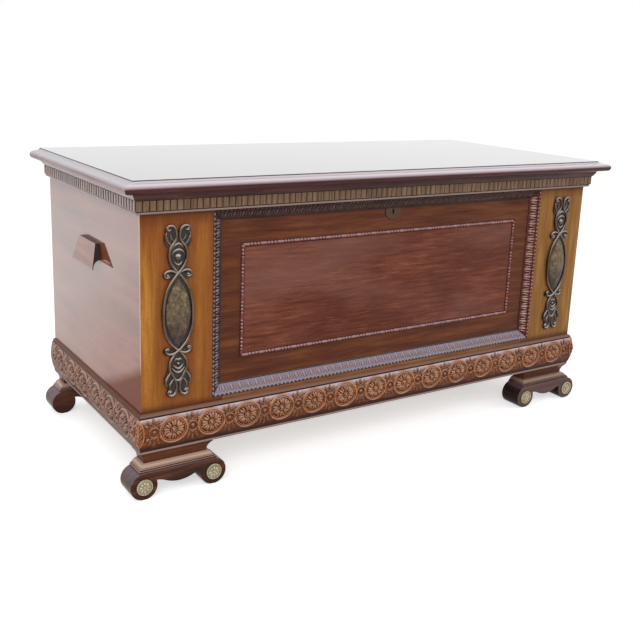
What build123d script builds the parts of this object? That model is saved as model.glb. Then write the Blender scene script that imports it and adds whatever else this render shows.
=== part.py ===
from build123d import *
import os
from math import asin, cos, degrees, radians, sin

os.makedirs("parts", exist_ok=True)

# A cassone: a low lift-lid chest on four scroll feet. Millimetres, +Z up, front towards -Y.
# The origin is on the floor, under the middle of the whole chest.

# ------------------------------------------------------------------ driving sizes
# Case
case_width = 1080.0
case_depth = 495.0
front_height = 356.0
front_thickness = 30.0
side_thickness = 20.0
back_thickness = 18.0
bottom_thickness = 12.0
bottom_lip_height = 4.0
bottom_lip_reach = 4.0

# Base moulding
base_height = 70.0
base_reach = 10.6
base_belly_height = 31.5
base_shoulder_reach = 6.5
base_ledge_reach = 5.0
base_ledge_height = 6.0
base_ledge_edge = 4.0

# Feet and pedestals
volute_radius = 25.5
volute_spacing = 136.0
foot_flat = 0.5
foot_depth = 52.0
foot_reach = 12.0
apron_end_inset = 22.0
apron_end_height = 33.2
apron_belly_width = 56.0
apron_belly_height = 29.0
apron_middle_height = 22.5
pedestal_height = 33.5
pedestal_toe_reach = 8.0
pedestal_toe_height = 1.7
pedestal_step_reach = 5.5
pedestal_torus_reach = 3.0
pedestal_torus_height = 4.0
pedestal_neck_inset = 6.5
pedestal_neck_height = 11.0
pedestal_torus_swell = 3.0
pedestal_hollow_depth = 2.6
pedestal_hollow_height = 11.5
pedestal_top_reach = 2.5
pedestal_top_height = 2.5
rosette_radius = 15.5
rosette_height = 4.0
rosette_edge = 2.8
rosette_rim = 2.4

# Lid
lid_thickness = 21.0
field_rise = 1.6
lid_overhang = 40.0
lid_gap = 0.3
nosing_width = 20.6
nosing_radius = 7.6
nosing_sweep = 165.0
nosing_flat = 5.7
nosing_flat_rise = 1.2
nosing_hollow = 0.9
skirt_height = 38.2
ovolo_reach = 18.9
ovolo_height = 14.2
ovolo_foot = 1.0
ovolo_swell = 2.1
band_reach = 11.0
bead_height = 5.5
bead_reach = 9.0
bead_swell = 1.8
reed_pitch = 12.24
reed_groove_width = 2.6
reed_groove_depth = 2.2

# Front frame and panels
stile_face_width = 136.0
recess_depth = 13.0
frame_moulding_width = 22.0
frame_moulding_bottom = 7.0
frame_flat_width = 4.4
frame_step = 1.6
frame_toe_width = 2.2
frame_toe_height = 1.3
bead_frame_width = 9.0
bead_frame_height = 4.5
bead_frame_side_inset = 44.0
bead_frame_bottom_inset = 47.0
bead_frame_top_inset = 48.0
tongue_depth = 8.0
tongue_thickness = 5.0
tenon_length = 30.0
tenon_thickness = 8.0
tenon_shoulder = 6.0

# Appliques
applique_thickness = 5.0
applique_drop = 178.0
applique_eye_half_height = 68.5
applique_eye_half_width = 30.2
applique_curl_reach = 20.6
applique_curl_radius = 6.8
cabochon_half_width = 24.5
cabochon_half_height = 62.5
cabochon_rise = 6.0
# Half outlines of the carved heads, as distances from the middle line and from the crossings.
applique_head = (
    (0, -4), (5, 1), (10.5, 9), (16, 19), (19, 30), (18, 41), (17, 48), (22.5, 53), (25.5, 61), (25, 69),
    (20.5, 72.5), (23.5, 76.5), (22, 81.5), (17.5, 85), (10.5, 86.5), (4.5, 82.5), (0, 74),
)
applique_tail = (
    (0, -4), (6, 1), (13, 10), (18, 20), (18.5, 31), (21, 40), (26, 49), (26, 59), (21.5, 65.5), (18.5, 72),
    (22, 77.5), (20, 82.5), (14.5, 85.5), (7, 84.5), (2, 79), (0, 72),
)

# Side handles
handle_top_length = 90.0
handle_bottom_length = 117.0
handle_height = 46.0
handle_top_reach = 9.3
handle_bottom_reach = 20.5
handle_groove_radius = 16.0
handle_lip = 2.7
handle_drop = 86.5
handle_setback = 240.0

# Hinges
hinge_length = 76.0
hinge_inset = 210.0
hinge_leaf_width = 20.0
hinge_leaf_thickness = 2.0
knuckle_radius = 4.0
knuckle_count = 5
knuckle_clearance = 0.2
hinge_pin_radius = 2.0
pin_clearance = 0.05

# Lid stays
stay_length = 200.0
stay_fall = 25.0
stay_arm_width = 12.0
stay_arm_thickness = 2.0
stay_plate_length = 40.0
stay_plate_height = 22.0
stay_plate_thickness = 2.0
stay_pin_radius = 2.5
stay_head_radius = 4.5
stay_head_thickness = 1.2
stay_clearance = 0.4
stay_lid_height = 20.0

# Lock
lock_width = 64.0
lock_height = 42.0
lock_thickness = 12.0
lock_wall = 1.5
selvedge_thickness = 2.0
selvedge_length = 94.0
bolt_drop = 10.0
bolt_height = 6.5
bolt_thickness = 3.0
bolt_length = 24.0
bolt_clearance = 0.25
bolt_tip = 4.0
staple_thickness = 3.0
staple_width = 7.0
staple_drop = 17.0
staple_eye_height = 8.5
staple_eye_width = 4.0
staple_plate_length = 40.0
staple_slot_clearance = 0.8
keyhole_height = 11.0
keyhole_width = 4.0
key_drop = 28.5
escutcheon_half_width = 19.0
escutcheon_half_height = 16.0
escutcheon_thickness = 1.5

# Screws
screw_head_radius = 3.4
screw_shank_radius = 1.7
screw_edge = 1.0

# ------------------------------------------------------------------ levels and faces
half_width = case_width / 2
foot_top = 2 * volute_radius - foot_flat
bottom_level = foot_top + pedestal_height
moulding_level = bottom_level + bottom_lip_height
wall_level = bottom_level + bottom_thickness
base_top = moulding_level + base_height
case_top = base_top + front_height
skirt_bottom = case_top + lid_gap
lid_underside = skirt_bottom + skirt_height
lid_top = lid_underside + lid_thickness

hinge_setback = knuckle_radius + knuckle_clearance
overall_depth = lid_overhang + case_depth + hinge_setback + knuckle_radius
front_y = lid_overhang - overall_depth / 2
back_y = front_y + case_depth
hinge_y = back_y + hinge_setback
hinge_z = case_top + lid_gap / 2

inner_side = half_width - side_thickness
inner_front = front_y + front_thickness
inner_back = back_y - back_thickness
recess_y = front_y + recess_depth

field_reach = lid_overhang - nosing_width
stile_inner = half_width - stile_face_width
opening_half_width = stile_inner - frame_moulding_width
frame_low = base_top + frame_moulding_bottom
opening_low = frame_low + frame_moulding_width
opening_high = case_top - frame_moulding_width
panel_half_width = opening_half_width - bead_frame_side_inset
panel_low = opening_low + bead_frame_bottom_inset
panel_high = opening_high - bead_frame_top_inset
tongue_y = recess_y + (front_thickness - recess_depth) / 2

SIDES = (("left", -1), ("right", 1))


# ------------------------------------------------------------------ helpers
def upright_prism(corners, bottom, top, mode=Mode.ADD):
    """Straight prism over a plan outline."""
    with BuildSketch(Plane.XY.offset(bottom)) as plan_outline:
        with BuildLine():
            Polyline(*corners, close=True)
        make_face()
    extrude(plan_outline.sketch, amount=top - bottom, mode=mode)


def block(x_span, y_span, z_span, mode=Mode.ADD):
    """Rectangular block between two limits on each axis."""
    low = (min(x_span), min(y_span), min(z_span))
    size = (abs(x_span[1] - x_span[0]), abs(y_span[1] - y_span[0]), abs(z_span[1] - z_span[0]))
    with Locations(low):
        Box(*size, align=(Align.MIN, Align.MIN, Align.MIN), mode=mode)


def mitred_length(section, corner, run, across, length, outward, start=True, end=True):
    """One length of moulding: section is drawn on the plane across it, ends are cut at 45 degrees.

    The run starts at corner. Local x is across, local y stands off the face it is planted on.
    Outward mouldings open out at their corners, inward ones close in.
    """
    run = Vector(*run)
    across = Vector(*across)
    corner = Vector(*corner)
    far_corner = corner + run * length
    overrun = lid_overhang * 2 if outward else 0
    before = overrun if start else 0
    after = overrun if end else 0
    lean = across if outward else across * -1
    with BuildSketch(Plane(origin=corner - run * before, x_dir=across, z_dir=run)) as cross_section:
        section()
    extrude(cross_section.sketch, amount=before + length + after)
    if start:
        split(bisect_by=Plane(origin=corner, z_dir=run + lean), keep=Keep.TOP)
    if end:
        split(bisect_by=Plane(origin=far_corner, z_dir=lean - run), keep=Keep.TOP)


def case_run(section, side):
    """A moulding length on the outside of the case: front, left or right."""
    if side == "front":
        mitred_length(section, (half_width, front_y, 0), (-1, 0, 0), (0, -1, 0), case_width, True)
    elif side == "left":
        mitred_length(section, (-half_width, front_y, 0), (0, 1, 0), (-1, 0, 0), case_depth, True, end=False)
    else:
        mitred_length(section, (half_width, back_y, 0), (0, -1, 0), (1, 0, 0), case_depth, True, start=False)


def frame_run(section, side, half, low, high):
    """A moulding length of an upright frame on the recessed panel: top, bottom, left or right."""
    if side == "top":
        mitred_length(section, (half, recess_y, high), (-1, 0, 0), (0, 0, -1), 2 * half, False)
    elif side == "bottom":
        mitred_length(section, (-half, recess_y, low), (1, 0, 0), (0, 0, 1), 2 * half, False)
    elif side == "left":
        mitred_length(section, (-half, recess_y, high), (0, 0, -1), (1, 0, 0), high - low, False)
    else:
        mitred_length(section, (half, recess_y, low), (0, 0, 1), (-1, 0, 0), high - low, False)


def screw_holes(places, thickness):
    """Countersunk holes at planes that face out of the plate they go through."""
    top = (Align.CENTER, Align.CENTER, Align.MAX)
    with Locations(*places):
        Cone(screw_shank_radius, screw_head_radius, thickness, align=top, mode=Mode.SUBTRACT)


def peg(plane, radius, height, mode=Mode.ADD):
    """Round peg, or hole, that stands on a plane."""
    with Locations(plane):
        Cylinder(radius, height, align=(Align.CENTER, Align.CENTER, Align.MIN), mode=mode)


def facing_up(x, y, z):
    return Plane(origin=(x, y, z), z_dir=(0, 0, 1))


def facing_down(x, y, z):
    return Plane(origin=(x, y, z), z_dir=(0, 0, -1))


def facing_in(sign, distance, y, z):
    """Plane a distance off the inside of a side wall, looking into the chest, local y up."""
    return Plane(origin=(sign * (inner_side - distance), y, z), x_dir=(0, -sign, 0), z_dir=(-sign, 0, 0))


# ------------------------------------------------------------------ places of the fittings
hinge_places = [(name, sign * (half_width - hinge_inset)) for name, sign in SIDES]
hinge_screw_step = hinge_length / 3
hinge_screw_y = back_y - hinge_leaf_width / 2
hinge_screw_x = [x + step * hinge_screw_step for _, x in hinge_places for step in (-1, 0, 1)]
leaf_bottom = case_top - hinge_leaf_thickness
leaf_top = skirt_bottom + hinge_leaf_thickness
hinge_case_screws = [facing_up(x, hinge_screw_y, case_top) for x in hinge_screw_x]
hinge_lid_screws = [facing_down(x, hinge_screw_y, skirt_bottom) for x in hinge_screw_x]

stay_lid_z = skirt_bottom + stay_lid_height
stay_rise = degrees(asin((stay_lid_z - hinge_z) / stay_length))
stay_case_pivot = (hinge_y - stay_length * cos(radians(stay_fall)), hinge_z - stay_length * sin(radians(stay_fall)))
stay_lid_pivot = (hinge_y - stay_length * cos(radians(stay_rise)), stay_lid_z)
stay_elbow = (stay_case_pivot[0] + stay_lid_pivot[0] - hinge_y, stay_case_pivot[1] + stay_lid_pivot[1] - hinge_z)
lower_arm_at = stay_plate_thickness + stay_clearance
upper_arm_at = lower_arm_at + stay_arm_thickness + stay_clearance
arms_end = upper_arm_at + stay_arm_thickness
stay_screw_step = stay_plate_length / 2 - screw_head_radius - 2 * screw_edge


def stay_screws(sign, pivot):
    """The two screws of a stay plate, one each side of its pivot."""
    steps = (-stay_screw_step, stay_screw_step)
    return [facing_in(sign, stay_plate_thickness, pivot[0] + step, pivot[1]) for step in steps]


lock_back = inner_front
lock_front = lock_back - lock_thickness
lock_middle = (lock_front + lock_back) / 2
lock_low = case_top - lock_height
key_z = case_top - key_drop
bolt_z = case_top - bolt_drop
staple_bottom = skirt_bottom - staple_drop
lock_screw_x = (selvedge_length + lock_width) / 4
staple_screw_x = staple_plate_length / 2 - screw_head_radius - screw_edge
lock_span = (-lock_width / 2, lock_width / 2)
selvedge_span = (-selvedge_length / 2, selvedge_length / 2)
selvedge_low = case_top - selvedge_thickness
lock_screws = [facing_up(x, lock_middle, case_top) for x in (-lock_screw_x, lock_screw_x)]
staple_screws = [facing_down(x, lock_middle, skirt_bottom) for x in (-staple_screw_x, staple_screw_x)]


# ------------------------------------------------------------------ moulding sections
def base_section():
    """Carved base moulding: a long bulge under a small sloping ledge."""
    bulge_foot = (bottom_lip_reach, moulding_level)
    bulge_top = base_top - base_ledge_height
    with BuildLine() as outline:
        Line((0, moulding_level), bulge_foot)
        ThreePointArc(bulge_foot, (base_reach, moulding_level + base_belly_height), (base_shoulder_reach, bulge_top))
        Polyline(
            (base_shoulder_reach, bulge_top),
            (base_ledge_reach, bulge_top),
            (base_ledge_reach, bulge_top + base_ledge_edge),
            (0, base_top),
            (0, moulding_level),
        )
    make_face(outline.edges())


def nosing_section():
    """Edge of the lid: round nose, narrow flat and a hollow that stops a little below the field."""
    nose = (lid_overhang - nosing_radius, lid_underside + nosing_radius)
    end_angle = radians(nosing_sweep - 90)
    nose_end = (nose[0] + nosing_radius * cos(end_angle), nose[1] + nosing_radius * sin(end_angle))
    flat_end = (nose_end[0] - nosing_flat, nose_end[1] + nosing_flat_rise)
    field_edge = (field_reach, lid_top - field_rise)
    middle = ((flat_end[0] + field_edge[0]) / 2, (flat_end[1] + field_edge[1]) / 2 - nosing_hollow)
    with BuildLine() as outline:
        Line((field_reach, lid_underside), (nose[0], lid_underside))
        CenterArc(nose, nosing_radius, -90, nosing_sweep)
        Line(nose_end, flat_end)
        ThreePointArc(flat_end, middle, field_edge)
        Line(field_edge, (field_reach, lid_underside))
    make_face(outline.edges())


def cornice_section(depth):
    """Skirt of the lid: ovolo over a flat band over a small bead."""
    bead_foot = (bead_reach - bead_swell, skirt_bottom)
    bead_middle = (bead_reach, skirt_bottom + bead_height / 2)
    bead_top = (bead_reach - bead_swell, skirt_bottom + bead_height)
    ovolo_low = (band_reach + ovolo_foot, lid_underside - ovolo_height)
    ovolo_middle = (ovolo_reach - ovolo_swell, lid_underside - ovolo_height / 2)
    ovolo_top = (ovolo_reach, lid_underside)

    def draw():
        with BuildLine() as outline:
            Line((-depth, skirt_bottom), bead_foot)
            ThreePointArc(bead_foot, bead_middle, bead_top)
            Polyline(bead_top, (band_reach, bead_top[1]), (band_reach, ovolo_low[1]), ovolo_low)
            ThreePointArc(ovolo_low, ovolo_middle, ovolo_top)
            Polyline(ovolo_top, (-depth, lid_underside), (-depth, skirt_bottom))
        make_face(outline.edges())

    return draw


def frame_section():
    """Carved frame: a narrow flat at the outer edge, then a slope down to the panel."""
    with BuildLine() as outline:
        Polyline(
            (0, 0),
            (0, recess_depth),
            (frame_flat_width, recess_depth),
            (frame_flat_width + frame_step, recess_depth - frame_step),
            (frame_moulding_width - frame_toe_width, frame_toe_height),
            (frame_moulding_width, frame_toe_height),
            (frame_moulding_width, 0),
            close=True,
        )
    make_face(outline.edges())


def bead_section():
    """Half-round bead on the panel joint."""
    with BuildLine() as outline:
        Line((0, 0), (bead_frame_width, 0))
        ThreePointArc((bead_frame_width, 0), (bead_frame_width / 2, bead_frame_height), (0, 0))
    make_face(outline.edges())


# ------------------------------------------------------------------ bottom board and walls
with BuildPart() as bottom_board:
    block((-half_width, half_width), (front_y, back_y), (bottom_level, wall_level))
    block(
        (-half_width - bottom_lip_reach, half_width + bottom_lip_reach),
        (front_y - bottom_lip_reach, back_y),
        (bottom_level, moulding_level),
    )
bottom_board.part.label = "bottom_board"
export_step(bottom_board.part, "parts/bottom_board.step")

for name, sign in SIDES:
    corner = sign * half_width
    inside = sign * inner_side
    plan = [(corner, front_y), (corner, back_y), (inside, back_y), (inside, front_y + side_thickness)]
    with BuildPart() as side_panel:
        upright_prism(plan, wall_level, case_top)
    side_panel.part.label = f"side_panel_{name}"
    export_step(side_panel.part, f"parts/side_panel_{name}.step")

with BuildPart() as back_panel:
    block((-inner_side, inner_side), (inner_back, back_y), (wall_level, case_top))
    for _, hinge_x in hinge_places:
        reach = (hinge_x - hinge_length / 2, hinge_x + hinge_length / 2)
        block(reach, (inner_back, back_y), (leaf_bottom, case_top), Mode.SUBTRACT)
back_panel.part.label = "back_panel"
export_step(back_panel.part, "parts/back_panel.step")


# ------------------------------------------------------------------ front frame and panels
def tongue_span(low, high):
    """Limits of the tongue and its groove round the field panel, at one pair of edges."""
    return (low - tongue_depth, high + tongue_depth)


tongue_y_span = (tongue_y - tongue_thickness / 2, tongue_y + tongue_thickness / 2)
tongue_x_span = tongue_span(-opening_half_width, opening_half_width)
tongue_z_span = tongue_span(opening_low, opening_high)
tenon_y_span = (tongue_y - tenon_thickness / 2, tongue_y + tenon_thickness / 2)
tenon_x_span = (-opening_half_width - tenon_length, opening_half_width + tenon_length)
top_tenon = (opening_high + tongue_depth, case_top - tenon_shoulder)
bottom_tenon = (wall_level + tenon_shoulder, opening_low - tongue_depth - tenon_shoulder)
frame_x_span = (-stile_inner, stile_inner)

for name, sign in SIDES:
    corner = sign * half_width
    inside = sign * inner_side
    plan = [
        (sign * opening_half_width, front_y),
        (corner, front_y),
        (inside, front_y + side_thickness),
        (inside, inner_front),
        (sign * opening_half_width, inner_front),
    ]
    with BuildPart() as stile:
        upright_prism(plan, wall_level, case_top)
        block(frame_x_span, (front_y, recess_y), (frame_low, case_top), Mode.SUBTRACT)
        block(tongue_x_span, tongue_y_span, tongue_z_span, Mode.SUBTRACT)
        block(tenon_x_span, tenon_y_span, top_tenon, Mode.SUBTRACT)
        block(tenon_x_span, tenon_y_span, bottom_tenon, Mode.SUBTRACT)
    stile.part.label = f"stile_{name}"
    export_step(stile.part, f"parts/stile_{name}.step")

with BuildPart() as top_rail:
    block((-opening_half_width, opening_half_width), (front_y, inner_front), (opening_high, case_top))
    block(tenon_x_span, tenon_y_span, top_tenon)
    block(frame_x_span, (front_y, recess_y), (frame_low, case_top), Mode.SUBTRACT)
    block(tongue_x_span, tongue_y_span, tongue_z_span, Mode.SUBTRACT)
    block(lock_span, (lock_front, inner_front), (lock_low, case_top), Mode.SUBTRACT)
    block(selvedge_span, (lock_front, inner_front), (selvedge_low, case_top), Mode.SUBTRACT)
top_rail.part.label = "top_rail"
export_step(top_rail.part, "parts/top_rail.step")

with BuildPart() as bottom_rail:
    block((-opening_half_width, opening_half_width), (front_y, inner_front), (wall_level, opening_low))
    block(tenon_x_span, tenon_y_span, bottom_tenon)
    block(frame_x_span, (front_y, recess_y), (frame_low, case_top), Mode.SUBTRACT)
    block(tongue_x_span, tongue_y_span, tongue_z_span, Mode.SUBTRACT)
bottom_rail.part.label = "bottom_rail"
export_step(bottom_rail.part, "parts/bottom_rail.step")

panel_x_span = (-panel_half_width, panel_half_width)
panel_z_span = (panel_low, panel_high)
with BuildPart() as field_panel:
    block((-opening_half_width, opening_half_width), (recess_y, inner_front), (opening_low, opening_high))
    block(tongue_x_span, tongue_y_span, tongue_z_span)
    block(panel_x_span, (recess_y, inner_front), panel_z_span, Mode.SUBTRACT)
    block(lock_span, (lock_front, inner_front), (lock_low, case_top), Mode.SUBTRACT)
    with BuildSketch(Plane(origin=(0, recess_y, key_z), x_dir=(1, 0, 0), z_dir=(0, -1, 0))):
        SlotOverall(keyhole_height, keyhole_width, rotation=90)
    extrude(amount=-front_thickness, mode=Mode.SUBTRACT)
field_panel.part.label = "field_panel"
export_step(field_panel.part, "parts/field_panel.step")

with BuildPart() as centre_panel:
    block(panel_x_span, (recess_y, inner_front), panel_z_span)
centre_panel.part.label = "centre_panel"
export_step(centre_panel.part, "parts/centre_panel.step")

for side in ("top", "bottom", "left", "right"):
    with BuildPart() as frame_moulding:
        frame_run(frame_section, side, stile_inner, frame_low, case_top)
    frame_moulding.part.label = f"frame_moulding_{side}"
    export_step(frame_moulding.part, f"parts/frame_moulding_{side}.step")

bead_lengths = []
for side in ("top", "bottom", "left", "right"):
    with BuildPart() as bead_length:
        frame_run(
            bead_section,
            side,
            panel_half_width + bead_frame_width / 2,
            panel_low - bead_frame_width / 2,
            panel_high + bead_frame_width / 2,
        )
    bead_lengths.append(bead_length.part.solid())
bead_frame = Compound(label="bead_frame", children=bead_lengths)
export_step(bead_frame, "parts/bead_frame.step")


# ------------------------------------------------------------------ appliques on the stiles
def lens(half_length, half_girth, middle=0.0):
    """Pointed oval, long way up."""
    with BuildLine() as outline:
        ThreePointArc((0, middle - half_length), (half_girth, middle), (0, middle + half_length))
        ThreePointArc((0, middle + half_length), (-half_girth, middle), (0, middle - half_length))
    make_face(outline.edges())


def carved_head(half_outline, up):
    """One end of an applique, drawn both sides of its middle line, outwards from a crossing."""
    right = [(x, up * (applique_eye_half_height + along)) for x, along in half_outline]
    left = [(-x, z) for x, z in reversed(right[1:-1])]
    with BuildLine() as outline:
        Polyline(*right, *left, close=True)
    make_face(outline.edges())


applique_x = (half_width + stile_inner) / 2
applique_z = case_top - applique_drop
crossings = (-applique_eye_half_height, applique_eye_half_height)

for name, sign in SIDES:
    face = Plane(origin=(sign * applique_x, front_y, applique_z), x_dir=(1, 0, 0), z_dir=(0, -1, 0))
    with BuildPart() as applique:
        with BuildSketch(face):
            lens(applique_eye_half_height, applique_eye_half_width)
            carved_head(applique_head, 1)
            carved_head(applique_tail, -1)
            for crossing in crossings:
                with Locations((-applique_curl_reach, crossing), (applique_curl_reach, crossing)):
                    Circle(applique_curl_radius)
                with Locations((0, crossing)):
                    Rectangle(2 * applique_curl_reach, applique_curl_radius)
        extrude(amount=applique_thickness)
    applique.part.label = f"applique_{name}"
    export_step(applique.part, f"parts/applique_{name}.step")

    with BuildPart() as cabochon:
        for rise, share in ((0.0, 1.0), (0.55, 0.9), (0.9, 0.68), (1.0, 0.4)):
            with BuildSketch(face.offset(applique_thickness + rise * cabochon_rise)):
                lens(cabochon_half_height * share, cabochon_half_width * share)
        loft(ruled=True)
    cabochon.part.label = f"cabochon_{name}"
    export_step(cabochon.part, f"parts/cabochon_{name}.step")

# ------------------------------------------------------------------ base moulding
for side in ("front", "left", "right"):
    with BuildPart() as base_moulding:
        case_run(base_section, side)
    base_moulding.part.label = f"base_moulding_{side}"
    export_step(base_moulding.part, f"parts/base_moulding_{side}.step")

# ------------------------------------------------------------------ pedestals and feet
foot_half = volute_spacing / 2
foot_x = half_width - foot_half + foot_flat
apron_end = foot_half - apron_end_inset
foot_fronts = (("front", front_y - foot_reach), ("rear", back_y - foot_depth))


def pedestal_edge(start):
    """Moulded edge of a pedestal, foot to top: toe, step, ogee, neck and hollow."""
    toe_top = foot_top + pedestal_toe_height
    torus_foot = (start + pedestal_torus_reach, foot_top + pedestal_torus_height)
    neck = (start - pedestal_neck_inset, foot_top + pedestal_neck_height)
    hollow_top = (start + pedestal_top_reach, bottom_level - pedestal_top_height)
    torus_middle = (
        (torus_foot[0] + neck[0] + pedestal_torus_swell) / 2,
        (torus_foot[1] + neck[1] + pedestal_torus_swell) / 2,
    )
    Polyline(
        (start + pedestal_toe_reach, foot_top),
        (start + pedestal_toe_reach, toe_top),
        (start + pedestal_step_reach, toe_top),
        (start + pedestal_step_reach, torus_foot[1]),
        torus_foot,
    )
    ThreePointArc(torus_foot, torus_middle, neck)
    ThreePointArc(neck, (neck[0] + pedestal_hollow_depth, neck[1] + pedestal_hollow_height), hollow_top)
    Line(hollow_top, (hollow_top[0], bottom_level))


for foot_row, foot_front in foot_fronts:
    foot_back = foot_front + foot_depth
    for name, sign in SIDES:
        middle = sign * foot_x
        long_way = Plane(
            origin=(middle + volute_spacing, foot_front + foot_reach, 0), x_dir=(0, -1, 0), z_dir=(-1, 0, 0)
        )
        facing_front = Plane(origin=(middle, foot_front, 0), x_dir=(1, 0, 0), z_dir=(0, -1, 0))
        with BuildPart() as pedestal:
            with BuildSketch(long_way):
                with BuildLine():
                    pedestal_edge(0)
                    Polyline(
                        (pedestal_top_reach, bottom_level),
                        (foot_reach - foot_depth, bottom_level),
                        (foot_reach - foot_depth, foot_top),
                        (pedestal_toe_reach, foot_top),
                    )
                make_face()
            extrude(amount=2 * volute_spacing)
            with BuildSketch(facing_front):
                with BuildLine():
                    pedestal_edge(foot_half)
                    Polyline(
                        (foot_half + pedestal_top_reach, bottom_level),
                        (0, bottom_level),
                        (0, foot_top),
                        (foot_half + pedestal_toe_reach, foot_top),
                    )
                make_face()
                mirror(about=Plane.YZ)
            extrude(amount=2 * foot_depth, both=True, mode=Mode.INTERSECT)
        pedestal.part.label = f"pedestal_{foot_row}_{name}"
        export_step(pedestal.part, f"parts/pedestal_{foot_row}_{name}.step")

        with BuildPart() as foot:
            with BuildSketch(facing_front):
                with Locations((-foot_half, volute_radius - foot_flat), (foot_half, volute_radius - foot_flat)):
                    Circle(volute_radius)
                with BuildLine():
                    belly = ThreePointArc(
                        (-apron_belly_width / 2, apron_belly_height),
                        (0, apron_middle_height),
                        (apron_belly_width / 2, apron_belly_height),
                    )
                    right_end = TangentArc(belly @ 1, (apron_end, apron_end_height), tangent=belly % 1)
                    left_end = TangentArc(belly @ 0, (-apron_end, apron_end_height), tangent=-(belly % 0))
                    Polyline(right_end @ 1, (foot_half, foot_top), (-foot_half, foot_top), left_end @ 1)
                make_face()
                with Locations((0, -volute_radius)):
                    Rectangle(4 * volute_spacing, 2 * volute_radius, mode=Mode.SUBTRACT)
            extrude(amount=-foot_depth)
        foot.part.label = f"foot_{foot_row}_{name}"
        export_step(foot.part, f"parts/foot_{foot_row}_{name}.step")

with BuildPart() as foot_rosettes:
    for _, sign in SIDES:
        for step in (-foot_half, foot_half):
            centre = (sign * foot_x + step, foot_fronts[0][1], volute_radius - foot_flat)
            # The profile turns about the line straight out of the foot.
            with BuildSketch(Plane(origin=centre, x_dir=(1, 0, 0), z_dir=(0, 0, 1))):
                with BuildLine():
                    Polyline(
                        (0, 0),
                        (rosette_radius, 0),
                        (rosette_radius, -rosette_edge),
                        (rosette_radius - rosette_rim, -rosette_height),
                        (0, -rosette_height),
                        close=True,
                    )
                make_face()
            revolve(axis=Axis(centre, (0, -1, 0)))
foot_rosettes.part.label = "foot_rosettes"
export_step(foot_rosettes.part, "parts/foot_rosettes.step")

# ------------------------------------------------------------------ side handles
handle_top = case_top - handle_drop
handle_low = handle_top - handle_height
handle_y = front_y + handle_setback
groove_middle = handle_bottom_reach - handle_lip - handle_groove_radius

for name, sign in SIDES:
    end_on = Plane(origin=(sign * half_width, handle_y, handle_low), x_dir=(sign, 0, 0), z_dir=(0, -sign, 0))
    side_on = Plane(origin=(sign * half_width, handle_y, handle_low), x_dir=(0, sign, 0), z_dir=(sign, 0, 0))
    with BuildPart() as handle:
        with BuildSketch(end_on):
            with BuildLine():
                Polyline(
                    (0, 0),
                    (handle_bottom_reach, 0),
                    (handle_top_reach, handle_height),
                    (0, handle_height),
                    close=True,
                )
            make_face()
            with Locations((groove_middle, 0)):
                Circle(handle_groove_radius, mode=Mode.SUBTRACT)
        extrude(amount=handle_bottom_length, both=True)
        with BuildSketch(side_on):
            with BuildLine():
                Polyline(
                    (-handle_bottom_length / 2, 0),
                    (handle_bottom_length / 2, 0),
                    (handle_top_length / 2, handle_height),
                    (-handle_top_length / 2, handle_height),
                    close=True,
                )
            make_face()
        extrude(amount=2 * handle_bottom_reach, mode=Mode.INTERSECT)
    handle.part.label = f"handle_{name}"
    export_step(handle.part, f"parts/handle_{name}.step")

# ------------------------------------------------------------------ lid
lid_reach_x = half_width + field_reach
with BuildPart() as lid_panel:
    block((-lid_reach_x, lid_reach_x), (front_y - field_reach, back_y), (lid_underside, lid_top))
lid_panel.part.label = "lid_panel"
export_step(lid_panel.part, "parts/lid_panel.step")

for side in ("front", "left", "right"):
    with BuildPart() as nosing:
        case_run(nosing_section, side)
    nosing.part.label = f"lid_nosing_{side}"
    export_step(nosing.part, f"parts/lid_nosing_{side}.step")


def reed_grooves(length):
    """Count and pitch of the grooves between whole reeds along a band."""
    reeds = max(2, round(length / reed_pitch))
    return reeds - 1, length / reeds


band_low = skirt_bottom + bead_height
band_high = lid_underside - ovolo_height
band_middle = (band_low + band_high) / 2
groove_floor = band_reach - reed_groove_depth

with BuildPart() as cornice_front:
    case_run(cornice_section(side_thickness), "front")
    block((-inner_side, inner_side), (front_y + side_thickness, inner_front), (skirt_bottom, lid_underside))
    block(
        (-staple_plate_length / 2, staple_plate_length / 2),
        (lock_front, lock_back),
        (skirt_bottom, skirt_bottom + selvedge_thickness),
        Mode.SUBTRACT,
    )
    grooves, pitch = reed_grooves(case_width + 2 * band_reach)
    with Locations((0, front_y - groove_floor, band_middle)):
        with GridLocations(pitch, 1, grooves, 1):
            Box(
                reed_groove_width,
                2 * reed_groove_depth,
                band_high - band_low,
                align=(Align.CENTER, Align.MAX, Align.CENTER),
                mode=Mode.SUBTRACT,
            )
cornice_front.part.label = "cornice_front"
export_step(cornice_front.part, "parts/cornice_front.step")

for name, sign in SIDES:
    with BuildPart() as cornice:
        case_run(cornice_section(side_thickness), name)
        grooves, pitch = reed_grooves(case_depth + band_reach)
        groove_side = Align.MIN if sign > 0 else Align.MAX
        with Locations((sign * (half_width + groove_floor), (front_y - band_reach + back_y) / 2, band_middle)):
            with GridLocations(1, pitch, 1, grooves):
                Box(
                    2 * reed_groove_depth,
                    reed_groove_width,
                    band_high - band_low,
                    align=(groove_side, Align.CENTER, Align.CENTER),
                    mode=Mode.SUBTRACT,
                )
    cornice.part.label = f"cornice_{name}"
    export_step(cornice.part, f"parts/cornice_{name}.step")

with BuildPart() as lid_rail_back:
    block((-inner_side, inner_side), (inner_back, back_y), (skirt_bottom, lid_underside))
    for _, hinge_x in hinge_places:
        reach = (hinge_x - hinge_length / 2, hinge_x + hinge_length / 2)
        block(reach, (inner_back, back_y), (skirt_bottom, leaf_top), Mode.SUBTRACT)
lid_rail_back.part.label = "lid_rail_back"
export_step(lid_rail_back.part, "parts/lid_rail_back.step")

# ------------------------------------------------------------------ hinges
knuckle_length = hinge_length / knuckle_count


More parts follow.
